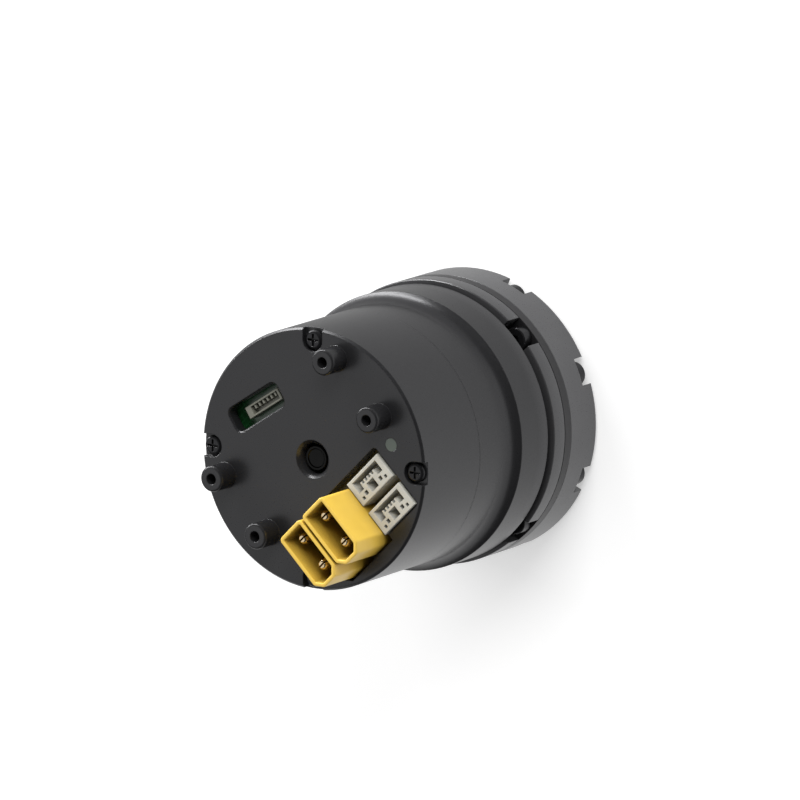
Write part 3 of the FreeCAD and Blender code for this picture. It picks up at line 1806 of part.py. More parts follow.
def make_flexspline_fixings():
    clamp_z = size.flange_web_thickness + size.diaphragm_thickness
    top_z = clamp_z + size.clamp_ring_thickness
    clamp = turned_part(
        "flexspline_clamp_ring",
        ring_section(size.diaphragm_hole_radius, size.diaphragm_boss_radius, clamp_z, top_z),
    )
    drill_circle(
        clamp,
        size.flexspline_screw_circle_radius,
        as_size(0),
        size.flexspline_screw_count,
        size.socket_hole_radius,
        top_z,
        size.clamp_ring_thickness,
    )
    screws = new_body("flexspline_screws")
    sketch = section_sketch(screws, size.flexspline_screw_circle_radius)
    tip_z = size.flange_web_thickness - size.flexspline_screw_grip
    head_z = top_z + size.flexspline_screw_head_height
    draw_loop(
        sketch,
        [
            (0, tip_z),
            (size.socket_shank_radius, tip_z),
            (size.socket_shank_radius, top_z),
            (size.flexspline_screw_head_radius, top_z),
            (size.flexspline_screw_head_radius, head_z),
            (0, head_z),
        ],
    )
    pattern(screws, [revolve(screws, sketch)], size.flexspline_screw_count)


# ------------------------------------------------------------------------------------------- assembly


def build():
    make_rear_cover()
    make_cover_screws()
    make_light_pipe()
    make_interface_board()
    make_board("driver_board", driver_z)
    make_board_spacers()
    make_board_screws()
    make_electronics()
    make_service_connector()
    make_service_contacts()
    make_power_connector("power_connector_a", size.power_a_across)
    make_power_connector("power_connector_b", size.power_b_across)
    make_power_pins()
    make_signal_connector("signal_connector_a", size.signal_a_along)
    make_signal_connector("signal_connector_b", size.signal_b_along)
    make_signal_contacts()
    make_end_bell()
    make_motor_housing()
    make_stator_core()
    make_windings()
    make_rotor()
    make_ball_bearing("front_bearing", front_bearing_z)
    make_ball_bearing("rear_bearing", rear_bearing_z)
    make_gear_housing()
    socket_screws(
        "gear_housing_screws",
        size.gear_screw_circle_radius,
        size.gear_screw_first_angle,
        size.gear_screw_count,
        mid_z + size.motor_front_flange_thickness,
        1,
        size.motor_front_flange_thickness + size.screw_engagement,
    )
    make_circular_spline()
    make_flexspline()
    make_wave_generator()
    make_cam_fixings()
    make_front_ring()
    socket_screws(
        "window_screws",
        stack_screw_circle_radius,
        as_size(0),
        size.window_count,
        gear_z,
        1,
        size.spline_flange_thickness + size.screw_engagement,
    )
    socket_screws(
        "rim_screws",
        stack_screw_circle_radius,
        size.rim_screw_first_angle,
        size.rim_screw_count,
        notch_floor_z,
        -1,
        gear_z - notch_floor_z + size.screw_engagement,
    )
    make_output_flange()
    make_output_bearing()
    make_flexspline_fixings()


def check_and_export():
    document.recompute()
    for item in document.Objects:
        if "Invalid" in item.State or "Error" in item.State:
            raise RuntimeError(f"{item.Label} failed: {item.State}")
    for node in nodes:
        if node.Shape.isNull() or not node.Shape.isValid() or not node.Shape.Solids:
            raise RuntimeError(f"{node.Label} has no valid shape")
    os.makedirs("parts", exist_ok=True)
    for node in nodes:
        node.Shape.exportStep(f"parts/{node.Label}.step")
    print(f"{len(nodes)} nodes")


build()
check_and_export()
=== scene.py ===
"""Finish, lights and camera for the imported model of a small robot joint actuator.

The model stands on its output flange, with the rear cover and its connectors on top.
Every length is in metres, and MM turns a length in millimetres into one.
"""

import math

import bmesh
import bpy
import numpy as np
from mathutils import Matrix, Vector


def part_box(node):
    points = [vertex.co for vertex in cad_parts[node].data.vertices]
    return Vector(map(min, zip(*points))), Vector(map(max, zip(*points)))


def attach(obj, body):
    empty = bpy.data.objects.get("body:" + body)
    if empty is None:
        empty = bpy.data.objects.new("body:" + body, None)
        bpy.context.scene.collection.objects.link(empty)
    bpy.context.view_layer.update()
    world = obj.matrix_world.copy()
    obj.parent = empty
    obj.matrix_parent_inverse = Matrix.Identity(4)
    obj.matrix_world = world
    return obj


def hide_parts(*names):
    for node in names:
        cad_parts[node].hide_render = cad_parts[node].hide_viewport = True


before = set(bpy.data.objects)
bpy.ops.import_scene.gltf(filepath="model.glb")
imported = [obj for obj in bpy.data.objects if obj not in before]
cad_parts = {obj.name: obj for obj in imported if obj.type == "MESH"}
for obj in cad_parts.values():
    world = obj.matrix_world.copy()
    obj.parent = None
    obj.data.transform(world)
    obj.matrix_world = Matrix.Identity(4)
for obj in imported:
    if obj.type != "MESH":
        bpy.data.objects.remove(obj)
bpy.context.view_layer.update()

MM = 0.001

# ---------------------------------------------------------------- camera and lights

REAR_FACE = Vector((0, 0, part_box("status_light_pipe")[1].z))
VIEW_AZIMUTH = math.radians(-24.48)
VIEW_ELEVATION = math.radians(54.92)
VIEW_ROLL = math.radians(-107.03)
VIEW_DISTANCE = 1663.5 * MM
VIEW_ASIDE = (13.10 * MM, 8.88 * MM)
LENS = 500
SENSOR = 36

FLOOR_DROP = 0.02 * MM
FLOOR_RADIUS = 4.0
FLOOR_SIDES = 96
FLOOR_WHITE = 0.82
FLOOR_GLOW = 0.40
# Painted light and shade in reflections: metal sees the floor's paper darker than the camera does, and sees its
# glow as a pool from dim at the back to bright at the front.
MIRRORED_FLOOR_WHITE = 0.30
MIRRORED_FLOOR_DIM = 0.12
MIRRORED_FLOOR_BRIGHT = 0.80
MIRRORED_FLOOR_REACH = 40 * MM
ROOM_LEVEL = 0.40
MIRRORED_ROOM_LEVEL = 0.05


def at_height(outline, height):
    """Points of a flat outline, all at one height."""
    return np.column_stack((outline, np.full(len(outline), height)))


def unit_circle(sides):
    """Evenly spaced points (cos a, sin a) of a circle of radius 1."""
    angle = np.linspace(0, 2 * math.pi, sides, endpoint=False)
    return np.column_stack((np.cos(angle), np.sin(angle)))


def bearing(azimuth, elevation):
    """The direction (cos e cos a, cos e sin a, sin e), away from the object."""
    return Vector((
        math.cos(elevation) * math.cos(azimuth),
        math.cos(elevation) * math.sin(azimuth),
        math.sin(elevation),
    ))


def view_axes():
    """The camera's right, up and backward directions. The roll is a turn about the line of sight."""
    back = bearing(VIEW_AZIMUTH, VIEW_ELEVATION)
    level_right = Vector((0, 0, 1)).cross(back).normalized()
    level_up = back.cross(level_right)
    right = level_right * math.cos(VIEW_ROLL) + level_up * math.sin(VIEW_ROLL)
    return right, back.cross(right), back


def add_camera():
    """A long lens on the rear cover, which it keeps a little left of and below the middle of the picture."""
    right, up, back = view_axes()
    data = bpy.data.cameras.new("camera")
    data.lens = LENS
    data.sensor_width = SENSOR
    camera = bpy.data.objects.new("camera", data)
    turn = Matrix((right, up, back)).transposed().to_4x4()
    aside, above = VIEW_ASIDE
    place = REAR_FACE + right * aside + up * above + back * VIEW_DISTANCE
    camera.matrix_world = Matrix.Translation(place) @ turn
    bpy.context.scene.collection.objects.link(camera)
    bpy.context.scene.camera = camera


def add_softbox(name, azimuth, elevation, distance, size, power, mirrored=True):
    """A rectangular soft lamp that faces the middle of the object, and that metal may mirror."""
    aim = Vector((0, 0, REAR_FACE.z / 2))
    outward = bearing(math.radians(azimuth), math.radians(elevation))
    data = bpy.data.lights.new(name, "AREA")
    data.shape = "RECTANGLE"
    data.size, data.size_y = size
    data.energy = power
    lamp = bpy.data.objects.new(name, data)
    lamp.location = aim + outward * distance
    lamp.rotation_euler = outward.to_track_quat("Z", "Y").to_euler()
    lamp.visible_glossy = mirrored
    bpy.context.scene.collection.objects.link(lamp)


def add_lights():
    """A key lamp for the colours, a panel that the rear cover mirrors, and a low strip that draws the
    edges."""
    add_softbox("lamp_key", azimuth=22, elevation=34, distance=0.70, size=(0.40, 0.40), power=3.3,
                mirrored=False)
    add_softbox("lamp_cover", azimuth=155, elevation=55, distance=0.80, size=(0.55, 0.55), power=0.88)
    add_softbox("lamp_strip", azimuth=92, elevation=10, distance=0.70, size=(0.80, 0.14), power=8.0)


def floor_glow(tree):
    """How much the floor shines: evenly where it is looked at, not at all on things, and in metal a painted
    pool of light that runs from dim at the back to bright at the front, cast by no lamp."""
    path = tree.nodes.new("ShaderNodeLightPath")
    place = tree.nodes.new("ShaderNodeSeparateXYZ")
    tree.links.new(tree.nodes.new("ShaderNodeTexCoord").outputs["Object"], place.inputs[0])
    level = tree.nodes.new("ShaderNodeMapRange")
    level.inputs["From Min"].default_value = MIRRORED_FLOOR_REACH
    level.inputs["From Max"].default_value = -MIRRORED_FLOOR_REACH
    level.inputs["To Min"].default_value = MIRRORED_FLOOR_DIM
    level.inputs["To Max"].default_value = MIRRORED_FLOOR_BRIGHT
    tree.links.new(place.outputs["Y"], level.inputs["Value"])
    total = None
    for ray in ("Is Glossy Ray", "Is Camera Ray", "Is Transmission Ray"):
        part = tree.nodes.new("ShaderNodeMath")
        part.operation = "MULTIPLY_ADD"
        tree.links.new(path.outputs[ray], part.inputs[0])
        part.inputs[2].default_value = 0
        if total is None:
            tree.links.new(level.outputs[0], part.inputs[1])
        else:
            part.inputs[1].default_value = FLOOR_GLOW
            tree.links.new(total, part.inputs[2])
        total = part.outputs[0]
    return total


def add_floor():
    """A white round floor under the output flange. It keeps the shadow, and can't be seen from below."""
    rim = at_height(unit_circle(FLOOR_SIDES) * FLOOR_RADIUS, -FLOOR_DROP)
    mesh = bpy.data.meshes.new("floor")
    mesh.from_pydata(rim.tolist(), [], [list(range(FLOOR_SIDES))])
    floor = bpy.data.objects.new("floor", mesh)
    bpy.context.scene.collection.objects.link(floor)
    material = bpy.data.materials.new("floor_paper")
    material.use_nodes = True
    tree = material.node_tree
    tree.nodes.clear()
    paper = tree.nodes.new("ShaderNodeBsdfDiffuse")
    # Painted shade in reflections: the paper is FLOOR_WHITE to the camera and the darker MIRRORED_FLOOR_WHITE
    # to metal.
    white = tree.nodes.new("ShaderNodeMapRange")
    white.inputs["To Min"].default_value = FLOOR_WHITE
    white.inputs["To Max"].default_value = MIRRORED_FLOOR_WHITE
    tree.links.new(tree.nodes.new("ShaderNodeLightPath").outputs["Is Glossy Ray"], white.inputs["Value"])
    tree.links.new(white.outputs[0], paper.inputs["Color"])
    glow = tree.nodes.new("ShaderNodeEmission")
    tree.links.new(floor_glow(tree), glow.inputs["Strength"])
    both = tree.nodes.new("ShaderNodeAddShader")
    tree.links.new(paper.outputs[0], both.inputs[0])
    tree.links.new(glow.outputs[0], both.inputs[1])
    one_sided = tree.nodes.new("ShaderNodeMixShader")
    tree.links.new(tree.nodes.new("ShaderNodeNewGeometry").outputs["Backfacing"], one_sided.inputs["Fac"])
    tree.links.new(both.outputs[0], one_sided.inputs[1])
    tree.links.new(tree.nodes.new("ShaderNodeBsdfTransparent").outputs[0], one_sided.inputs[2])
    out = tree.nodes.new("ShaderNodeOutputMaterial")
    tree.links.new(one_sided.outputs[0], out.inputs["Surface"])
    mesh.materials.append(material)


def light_room():
    """A grey room for the light that falls on things, a darker one in metal, and white past the floor for the
    camera."""
    world = bpy.data.worlds.new("room")
    world.use_nodes = True
    tree = world.node_tree
    tree.nodes.clear()
    path = tree.nodes.new("ShaderNodeLightPath")
    shade = None
    for level, ray in ((ROOM_LEVEL, None), (MIRRORED_ROOM_LEVEL, "Is Glossy Ray"), (1, "Is Camera Ray")):
        room = tree.nodes.new("ShaderNodeBackground")
        room.inputs["Strength"].default_value = level
        room.inputs["Color"].default_value = (1, 1, 1, 1)
        if shade is None:
            shade = room.outputs[0]
            continue
        choice = tree.nodes.new("ShaderNodeMixShader")
        tree.links.new(path.outputs[ray], choice.inputs["Fac"])
        tree.links.new(shade, choice.inputs[1])
        tree.links.new(room.outputs[0], choice.inputs[2])
        shade = choice.outputs[0]
    out = tree.nodes.new("ShaderNodeOutputWorld")
    tree.links.new(shade, out.inputs["Surface"])
    bpy.context.scene.world = world


# ---------------------------------------------------------------- finishes

# The next two heights: the painted light on the black finish is full below the first and gone above the second.
PAINTED_LIGHT_TOP = 8 * MM
PAINTED_LIGHT_END = 16 * MM
GREEN_END = -1 * MM
OLIVE_START = -3 * MM
SKY_SAMPLES = 8


class Finish:
    """One material, built from a Principled shader and patterns that follow the object's own coordinates."""

    def __init__(self, name, roughness, metallic=0.0, **settings):
        self.material = bpy.data.materials.new(name)
        self.material.use_nodes = True
        self.tree = self.material.node_tree
        self.shader = self.tree.nodes["Principled BSDF"]
        self.place = self.tree.nodes.new("ShaderNodeTexCoord").outputs["Object"]
        self.shader.inputs["Roughness"].default_value = roughness
        self.shader.inputs["Metallic"].default_value = metallic
        for socket, value in settings.items():
            self.shader.inputs[socket.replace("_", " ")].default_value = value

    def join(self, output, socket):
        self.tree.links.new(output, socket)

    def math(self, operation, first, second=0.0):
        """One arithmetic node. Each of its two values is a number or another node's output."""
        node = self.tree.nodes.new("ShaderNodeMath")
        node.operation = operation
        for socket, value in zip(node.inputs, (first, second)):
            if isinstance(value, (int, float)):
                socket.default_value = value
            else:
                self.join(value, socket)
        return node.outputs[0]

    def grain(self, size, detail=2.0, stretch=(1, 1, 1), place=None):
        """Soft random grain, from 0 to 1, whose spots are about that size."""
        mapping = self.tree.nodes.new("ShaderNodeMapping")
        mapping.inputs["Scale"].default_value = [1 / (size * s) for s in stretch]
        self.join(place or self.place, mapping.inputs["Vector"])
        noise = self.tree.nodes.new("ShaderNodeTexNoise")
        noise.inputs["Scale"].default_value = 1
        noise.inputs["Detail"].default_value = detail
        self.join(mapping.outputs[0], noise.inputs["Vector"])
        return noise.outputs["Fac"]

    def axes(self):
        """The X, Y and Z of the object's own coordinates."""
        split = self.tree.nodes.new("ShaderNodeSeparateXYZ")
        self.join(self.place, split.inputs[0])
        return split.outputs

    def turned_place(self):
        """Coordinates that change only with the distance from the axis and the height, as a lathe's marks
        do."""
        axes = self.axes()
        across = self.math("MULTIPLY", axes["X"], axes["X"])
        along = self.math("MULTIPLY", axes["Y"], axes["Y"])
        radius = self.math("SQRT", self.math("ADD", across, along))
        joined = self.tree.nodes.new("ShaderNodeCombineXYZ")
        self.join(radius, joined.inputs["X"])
        self.join(axes["Z"], joined.inputs["Z"])
        return joined.outputs[0]

    def height_share(self, low, high):
        """From 0 at or below the low height to 1 at or above the high one."""
        return self.between(self.axes()["Z"], low, high)

    def between(self, output, low, high):
        """From 0 to 1 as a value goes from low to high."""
        ramp = self.tree.nodes.new("ShaderNodeMapRange")
        ramp.inputs["From Min"].default_value = low
        ramp.inputs["From Max"].default_value = high
        self.join(output, ramp.inputs["Value"])
        return ramp.outputs[0]

    def openness(self, reach, low=0.15, high=0.80):
        """From 0 far inside a cavity to 1 on an open face: the share of the sky above a point that is free
        within the reach. It is the mask for painted shade in cavities."""
        sky = self.tree.nodes.new("ShaderNodeAmbientOcclusion")
        sky.samples = SKY_SAMPLES
        sky.inputs["Distance"].default_value = reach
        return self.between(sky.outputs["AO"], low, high)

    def edges(self, radius, low=0.02, high=0.25):
        """From 0 on a flat or evenly curved place to 1 on an outer or inner edge of about that radius."""
        bevel = self.tree.nodes.new("ShaderNodeBevel")
        bevel.inputs["Radius"].default_value = radius
        geometry = self.tree.nodes.new("ShaderNodeNewGeometry")
        dot = self.tree.nodes.new("ShaderNodeVectorMath")
        dot.operation = "DOT_PRODUCT"
        self.join(bevel.outputs[0], dot.inputs[0])
        self.join(geometry.outputs["Normal"], dot.inputs[1])
        return self.between(dot.outputs["Value"], 1 - low, 1 - high)

    def blend(self, amount, first, second):
        """A colour between two, each a colour or another node's output. A colour mix has its two colours at
        inputs 6 and 7 and its result at output 2."""
        mix = self.tree.nodes.new("ShaderNodeMix")
        mix.data_type = "RGBA"
        self.join(amount, mix.inputs["Factor"])
        for socket, value in ((mix.inputs[6], first), (mix.inputs[7], second)):
            if isinstance(value, tuple):
                socket.default_value = (*value, 1)
            else:
                self.join(value, socket)
        return mix.outputs[2]

    def colour(self, output):
        self.join(output, self.shader.inputs["Base Color"])

    def roughness(self, amount, low, high):
        """Roughness that runs from low to high with the pattern."""
        ramp = self.tree.nodes.new("ShaderNodeMapRange")
        ramp.inputs["To Min"].default_value = low
        ramp.inputs["To Max"].default_value = high
        self.join(amount, ramp.inputs["Value"])
        self.join(ramp.outputs[0], self.shader.inputs["Roughness"])

    def relief(self, height, depth, strength=1.0, rounding=0.0):
        """Small hills of that depth, over edges that are softened by the rounding."""
        bump = self.tree.nodes.new("ShaderNodeBump")
        bump.inputs["Distance"].default_value = depth
        bump.inputs["Strength"].default_value = strength
        self.join(height, bump.inputs["Height"])
        if rounding:
            bevel = self.tree.nodes.new("ShaderNodeBevel")
            bevel.inputs["Radius"].default_value = rounding
            self.join(bevel.outputs[0], bump.inputs["Normal"])
        self.join(bump.outputs[0], self.shader.inputs["Normal"])


def black_anodised():
    """Satin black oxide on fine blasted aluminium, with painted light that makes it paler towards the output
    end, and edges lightened towards grey, partly as wear and partly as a painted highlight."""
    finish = Finish("black_anodised", 0.28, metallic=0.45)
    cloud = finish.grain(6 * MM)
    speck = finish.grain(0.16 * MM, detail=3.0)
    # Edges are lightened towards grey: partly wear of the oxide, partly a painted highlight.
    wear_and_painted_highlight = finish.math("MULTIPLY", finish.edges(0.08 * MM), finish.grain(1.5 * MM))
    # Painted light: the colour is paler at the output end and turns dark black above it, standing in for light
    # on that end.
    rear = finish.height_share(PAINTED_LIGHT_TOP, PAINTED_LIGHT_END)
    base_colour = finish.blend(rear, (0.120, 0.120, 0.124), (0.028, 0.028, 0.030))
    clouded = finish.blend(finish.math("MULTIPLY", cloud, 0.3), base_colour, (0.036, 0.036, 0.038))
    finish.colour(finish.blend(wear_and_painted_highlight, clouded, (0.15, 0.15, 0.155)))
    finish.roughness(speck, 0.24, 0.34)
    finish.relief(speck, 0.004 * MM, strength=0.3, rounding=0.20 * MM)
    return finish.material


def black_steel():
    """Black oxide on turned steel, with fine lathe marks."""
    finish = Finish("black_steel", 0.38, metallic=0.6)
    marks = finish.grain(0.08 * MM, detail=1.0, place=finish.turned_place())
    cloud = finish.grain(5 * MM)
    finish.colour(finish.blend(cloud, (0.028, 0.028, 0.030), (0.045, 0.044, 0.046)))
    finish.roughness(marks, 0.30, 0.48)
    finish.relief(marks, 0.004 * MM, strength=0.4, rounding=0.12 * MM)
    return finish.material


def black_screw():
    """Oiled black oxide on a forged screw head."""
    finish = Finish("black_screw", 0.32, metallic=0.7)
    speck = finish.grain(0.12 * MM)
    # Edges are lightened towards grey: partly wear of the oxide, partly a painted highlight.
    wear_and_painted_highlight = finish.edges(0.06 * MM)
    base_colour = finish.blend(speck, (0.016, 0.016, 0.018), (0.034, 0.034, 0.036))
    finish.colour(finish.blend(wear_and_painted_highlight, base_colour, (0.13, 0.13, 0.13)))
    finish.relief(speck, 0.004 * MM, strength=0.5, rounding=0.06 * MM)
    return finish.material


def turned_metal(name, dark, light, rough_low, rough_high):
    """A bare metal with lathe marks round its axis and faint clouds of handling."""
    finish = Finish(name, rough_low, metallic=1.0)
    marks = finish.grain(0.06 * MM, place=finish.turned_place())
    cloud = finish.grain(3 * MM)
    tone = finish.math("MULTIPLY_ADD", marks, 0.5)
    finish.colour(finish.blend(finish.math("MULTIPLY", cloud, tone), dark, light))
    finish.roughness(marks, rough_low, rough_high)
    finish.relief(marks, 0.003 * MM, strength=0.4, rounding=0.06 * MM)
    return finish.material


def moulded_plastic(name, dark, light, rough_low, rough_high, rounding=0.10 * MM, painted_shade=None, reach=5 * MM,
                    **settings):
    """A moulded plastic with a fine texture and a faint cloud of pigment, and painted shade inside its
    cavities: the colour darkens where little of the sky is open."""
    finish = Finish(name, rough_low, **settings)
    cloud = finish.grain(2.5 * MM)
    texture = finish.grain(0.10 * MM)
    pigment = finish.blend(cloud, dark, light)
    # Painted shade: the colour darkens inside cavities, by how closed in each point is.
    finish.colour(finish.blend(finish.openness(reach), painted_shade, pigment) if painted_shade else pigment)
    finish.roughness(texture, rough_low, rough_high)
    finish.relief(texture, 0.004 * MM, strength=0.35, rounding=rounding)
    return finish.material


def board_green():
    """Green solder mask, olive toward the near end: copper traces show as paler lines on a grid, over the
    weave of the glass."""
    finish = Finish("board_green", 0.30, Coat_Weight=0.3, Coat_Roughness=0.1)
    bricks = finish.tree.nodes.new("ShaderNodeTexBrick")
    bricks.inputs["Scale"].default_value = 1 / (3.2 * MM)
    bricks.inputs["Mortar Size"].default_value = 0.02
    bricks.inputs["Color1"].default_value = (0.008, 0.060, 0.016, 1)
    bricks.inputs["Color2"].default_value = (0.011, 0.075, 0.020, 1)
    bricks.inputs["Mortar"].default_value = (0.022, 0.130, 0.040, 1)
    finish.join(finish.place, bricks.inputs["Vector"])
    weave = finish.grain(0.25 * MM)
    mask = finish.blend(weave, bricks.outputs["Color"], (0.009, 0.052, 0.015))
    olive = finish.between(finish.axes()["Y"], GREEN_END, OLIVE_START)
    finish.colour(finish.blend(olive, mask, (0.085, 0.075, 0.035)))
    finish.relief(bricks.outputs["Fac"], 0.02 * MM, strength=0.4)
    return finish.material


def lamination():
    """Stacked electrical steel: a line every sheet, seen on the outside and in the bore."""
    finish = Finish("lamination", 0.42, metallic=0.9)
    sheets = finish.grain(0.16 * MM, detail=1.0, stretch=(400, 400, 1))
    finish.colour(finish.blend(sheets, (0.10, 0.10, 0.11), (0.30, 0.30, 0.31)))
    finish.relief(sheets, 0.02 * MM, strength=0.6)
    return finish.material


def copper():
    """Enamelled copper wire: strands that lie round each tooth, under a clear amber coat."""
    finish = Finish("copper", 0.26, metallic=0.85, Coat_Weight=0.6, Coat_Roughness=0.12)
    strands = finish.tree.nodes.new("ShaderNodeTexWave")
    strands.bands_direction = "Z"
    strands.inputs["Scale"].default_value = 1 / (0.9 * MM)
    strands.inputs["Distortion"].default_value = 0.6
    finish.join(finish.place, strands.inputs["Vector"])
    finish.colour(finish.blend(strands.outputs["Fac"], (0.20, 0.05, 0.015), (0.58, 0.22, 0.07)))
    finish.relief(strands.outputs["Fac"], 0.05 * MM, strength=0.8)
    return finish.material


def seal_rubber():
    """Matt nitrile with a faint bloom."""
    finish = Finish("seal_rubber", 0.62)
    bloom = finish.grain(0.8 * MM, detail=3.0)
    finish.colour(finish.blend(bloom, (0.012, 0.012, 0.012), (0.030, 0.030, 0.030)))
    finish.roughness(bloom, 0.55, 0.75)
    finish.relief(bloom, 0.01 * MM, strength=0.4)
    return finish.material


def make_finishes():
    """Every material slot's finish."""
    return {
        "black_anodised": black_anodised(),
        "black_steel": black_steel(),
        "black_screw": black_screw(),
        "output_steel": turned_metal("output_steel", (0.26, 0.26, 0.27), (0.52, 0.52, 0.53), 0.26, 0.42),
        "bearing_steel": turned_metal("bearing_steel", (0.48, 0.48, 0.49), (0.72, 0.72, 0.73), 0.12, 0.24),
        "spring_steel": turned_metal("spring_steel", (0.44, 0.44, 0.45), (0.66, 0.66, 0.67), 0.20, 0.34),
        "bare_aluminium": turned_metal("bare_aluminium", (0.56, 0.56, 0.57), (0.76, 0.76, 0.77), 0.26, 0.40),
        # The extra dark colour given to the yellow, grey and shaded plastics is painted shade for their
        # cavities.
        "yellow_plastic": moulded_plastic("yellow_plastic", (0.82, 0.53, 0.075), (0.90, 0.61, 0.10), 0.28, 0.40,
                                          rounding=0.15 * MM, painted_shade=(0.20, 0.115, 0.010)),
        "gold_pin": turned_metal("gold_pin", (0.62, 0.47, 0.27), (0.92, 0.78, 0.56), 0.14, 0.26),
        "grey_plastic": moulded_plastic("grey_plastic", (0.47, 0.46, 0.415), (0.60, 0.59, 0.53), 0.38, 0.52,
                                        rounding=0.08 * MM, painted_shade=(0.27, 0.27, 0.24), reach=1.2 * MM),
        # shaded_plastic is the grey plastic made darker: painted shade for the service socket, which sits down
        # in the slot.
        "shaded_plastic": moulded_plastic("shaded_plastic", (0.20, 0.20, 0.165), (0.27, 0.27, 0.22), 0.40, 0.55,
                                          rounding=0.06 * MM, painted_shade=(0.07, 0.07, 0.055), reach=1 * MM),
        "tin_contact": turned_metal("tin_contact", (0.55, 0.55, 0.54), (0.78, 0.78, 0.76), 0.22, 0.38),
        "board_green": board_green(),
        "shaft_black": turned_metal("shaft_black", (0.010, 0.010, 0.010), (0.022, 0.022, 0.022), 0.30, 0.40),
        "chip_black": moulded_plastic("chip_black", (0.012, 0.012, 0.013), (0.026, 0.026, 0.027), 0.45, 0.62),
        "capacitor_can": turned_metal("capacitor_can", (0.42, 0.42, 0.43), (0.62, 0.62, 0.63), 0.24, 0.38),
        "light_pipe": moulded_plastic("light_pipe", (0.070, 0.088, 0.074), (0.090, 0.108, 0.092), 0.25, 0.40),
        "light_chip": moulded_plastic("light_chip", (0.70, 0.70, 0.62), (0.80, 0.80, 0.74), 0.12, 0.20),
        "lamination": lamination(),
        "copper": copper(),
        "magnet": turned_metal("magnet", (0.50, 0.50, 0.50), (0.74, 0.74, 0.72), 0.16, 0.28),
        "seal_rubber": seal_rubber(),
    }


def dress_nodes(finishes):
    """Each CAD node takes the finish of its record slot, in every material slot that it has."""
    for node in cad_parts.values():
        for index, slot in enumerate(node.material_slots):
            node.data.materials[index] = finishes[slot.material.name.split(".")[0]]


# ---------------------------------------------------------------- pieces finer than the solids

ARC_STEPS = 6
GRID_STEP = 0.05 * MM
RAMP = 0.07 * MM
MERGE_DISTANCE = 0.001 * MM
SHARP_ANGLE = math.radians(40)

SLOT_CENTRE = (-2.38 * MM, 11.95 * MM)
SLOT_SIZE = (10.1 * MM, 3.9 * MM)
SLOT_TURN = math.radians(-12)
SLOT_ROUNDING = 1.0 * MM
SLOT_EDGE = 0.22 * MM
SLOT_DEPTH = 2.3 * MM
HOLE_MOUTH_RADIUS = 2.65 * MM
HOLE_FLARE = 0.6 * MM
HOLE_SIDES = 96
OVERCUT = 0.1 * MM

SHELL_WALL = 0.6 * MM
SHELL_CUT = 1.3 * MM
SHELL_ROUNDING = 0.7 * MM
SHELL_INNER_ROUNDING = 0.25 * MM
SHELL_LIP = 0.16 * MM
SHELL_FLOOR = 0.6 * MM

PIN_RADIUS = 1.0 * MM
PIN_TIP_RADIUS = 0.45 * MM
PIN_TAPER = 1.5 * MM
PIN_TIP_STEPS = 8
PIN_ARC_POINTS = 24
PIN_SLIT = 0.26 * MM

SOCKET_EDGE = 0.12 * MM
SIGNAL_CAVITY_DEPTH = 2.4 * MM
SIGNAL_BLADE_DROP = 0.7 * MM
SIGNAL_BLADE_HALF = 0.12 * MM
SIGNAL_BLADE_NEAR = 2.5 * MM
SIGNAL_BLADE_THICKNESS = 0.35 * MM
SIGNAL_TEETH = range(-2, 3)
SIGNAL_GAPS = range(-2, 2)
SERVICE_CENTRE = (-1.75 * MM, 11.95 * MM)
SERVICE_SIZE = (7.0 * MM, 1.9 * MM)
SERVICE_TURN = math.radians(-12)
SERVICE_CAVITY_DEPTH = 1.0 * MM
SERVICE_TEETH = 6
SERVICE_TOOTH_HEIGHT = 0.75

# On a socket's top, places are in millimetres from its left near corner. A box is (left, right, near, far), and
# an opening or tooth that repeats is (half its width, near, far).
SIGNAL_CAVITY = (0.97, 6.65, 1.85, 3.65)
SIGNAL_TONGUE = (2.06, 5.60, 1.00, 2.50)
SIGNAL_WINDOW = (3.00, 4.50, 0.60, 2.05)
SIGNAL_MIDDLE = 3.8
SIGNAL_PITCH = 0.75
SIGNAL_TOOTH = (0.19, 2.30, 2.95)
SIGNAL_POCKET = (0.24, 0.85, 1.40)
SIGNAL_POCKET_ASIDE = 1.75
SIGNAL_DOT = (0.19, 0.62, 1.00)
SIGNAL_DOT_ASIDE = 2.7
SERVICE_CAVITY = (1.10, 6.55, 0.35, 1.55)
SERVICE_FIRST_TOOTH = 1.55
SERVICE_PITCH = 0.85
SERVICE_TOOTH_WIDTH = 0.42
SERVICE_TOOTH_REACH = (0.90, 1.60)

CAP_RADIUS = 1.95 * MM
CAP_HEIGHT = 0.7 * MM
CAP_EDGE = 0.15 * MM
CAP_RECESS_RADIUS = 1.5 * MM
CAP_RECESS = 0.14 * MM
CAP_SIDES = 64


def add_piece(name, vertices, faces, body, slot, nodes=(), smooth=False, finish=None):
    """A new mesh in the frame's own coordinates, which rides a body and stands for those CAD nodes."""
    mesh = bpy.data.meshes.new(name)
    mesh.from_pydata(np.asarray(vertices).tolist(), [], faces)
    mesh.materials.append(finishes[finish or slot])
    if smooth:
        mesh.polygons.foreach_set("use_smooth", [True] * len(mesh.polygons))
        mesh.set_sharp_from_angle(angle=SHARP_ANGLE)
    piece = bpy.data.objects.new(name, mesh)
    bpy.context.scene.collection.objects.link(piece)
    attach(piece, body)
    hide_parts(*nodes)


def skin(rings):
    """The closed surface through rings with the same number of points. A flat face closes the first and the
    last ring."""
    count = len(rings[0])
    faces = []
    for ring in range(len(rings) - 1):
        low, high = ring * count, (ring + 1) * count
        for i in range(count):
            j = (i + 1) % count
            faces.append((low + i, low + j, high + j, high + i))
    faces.append(tuple(reversed(range(count))))
    faces.append(tuple(range((len(rings) - 1) * count, len(rings) * count)))
    return np.vstack(rings), faces


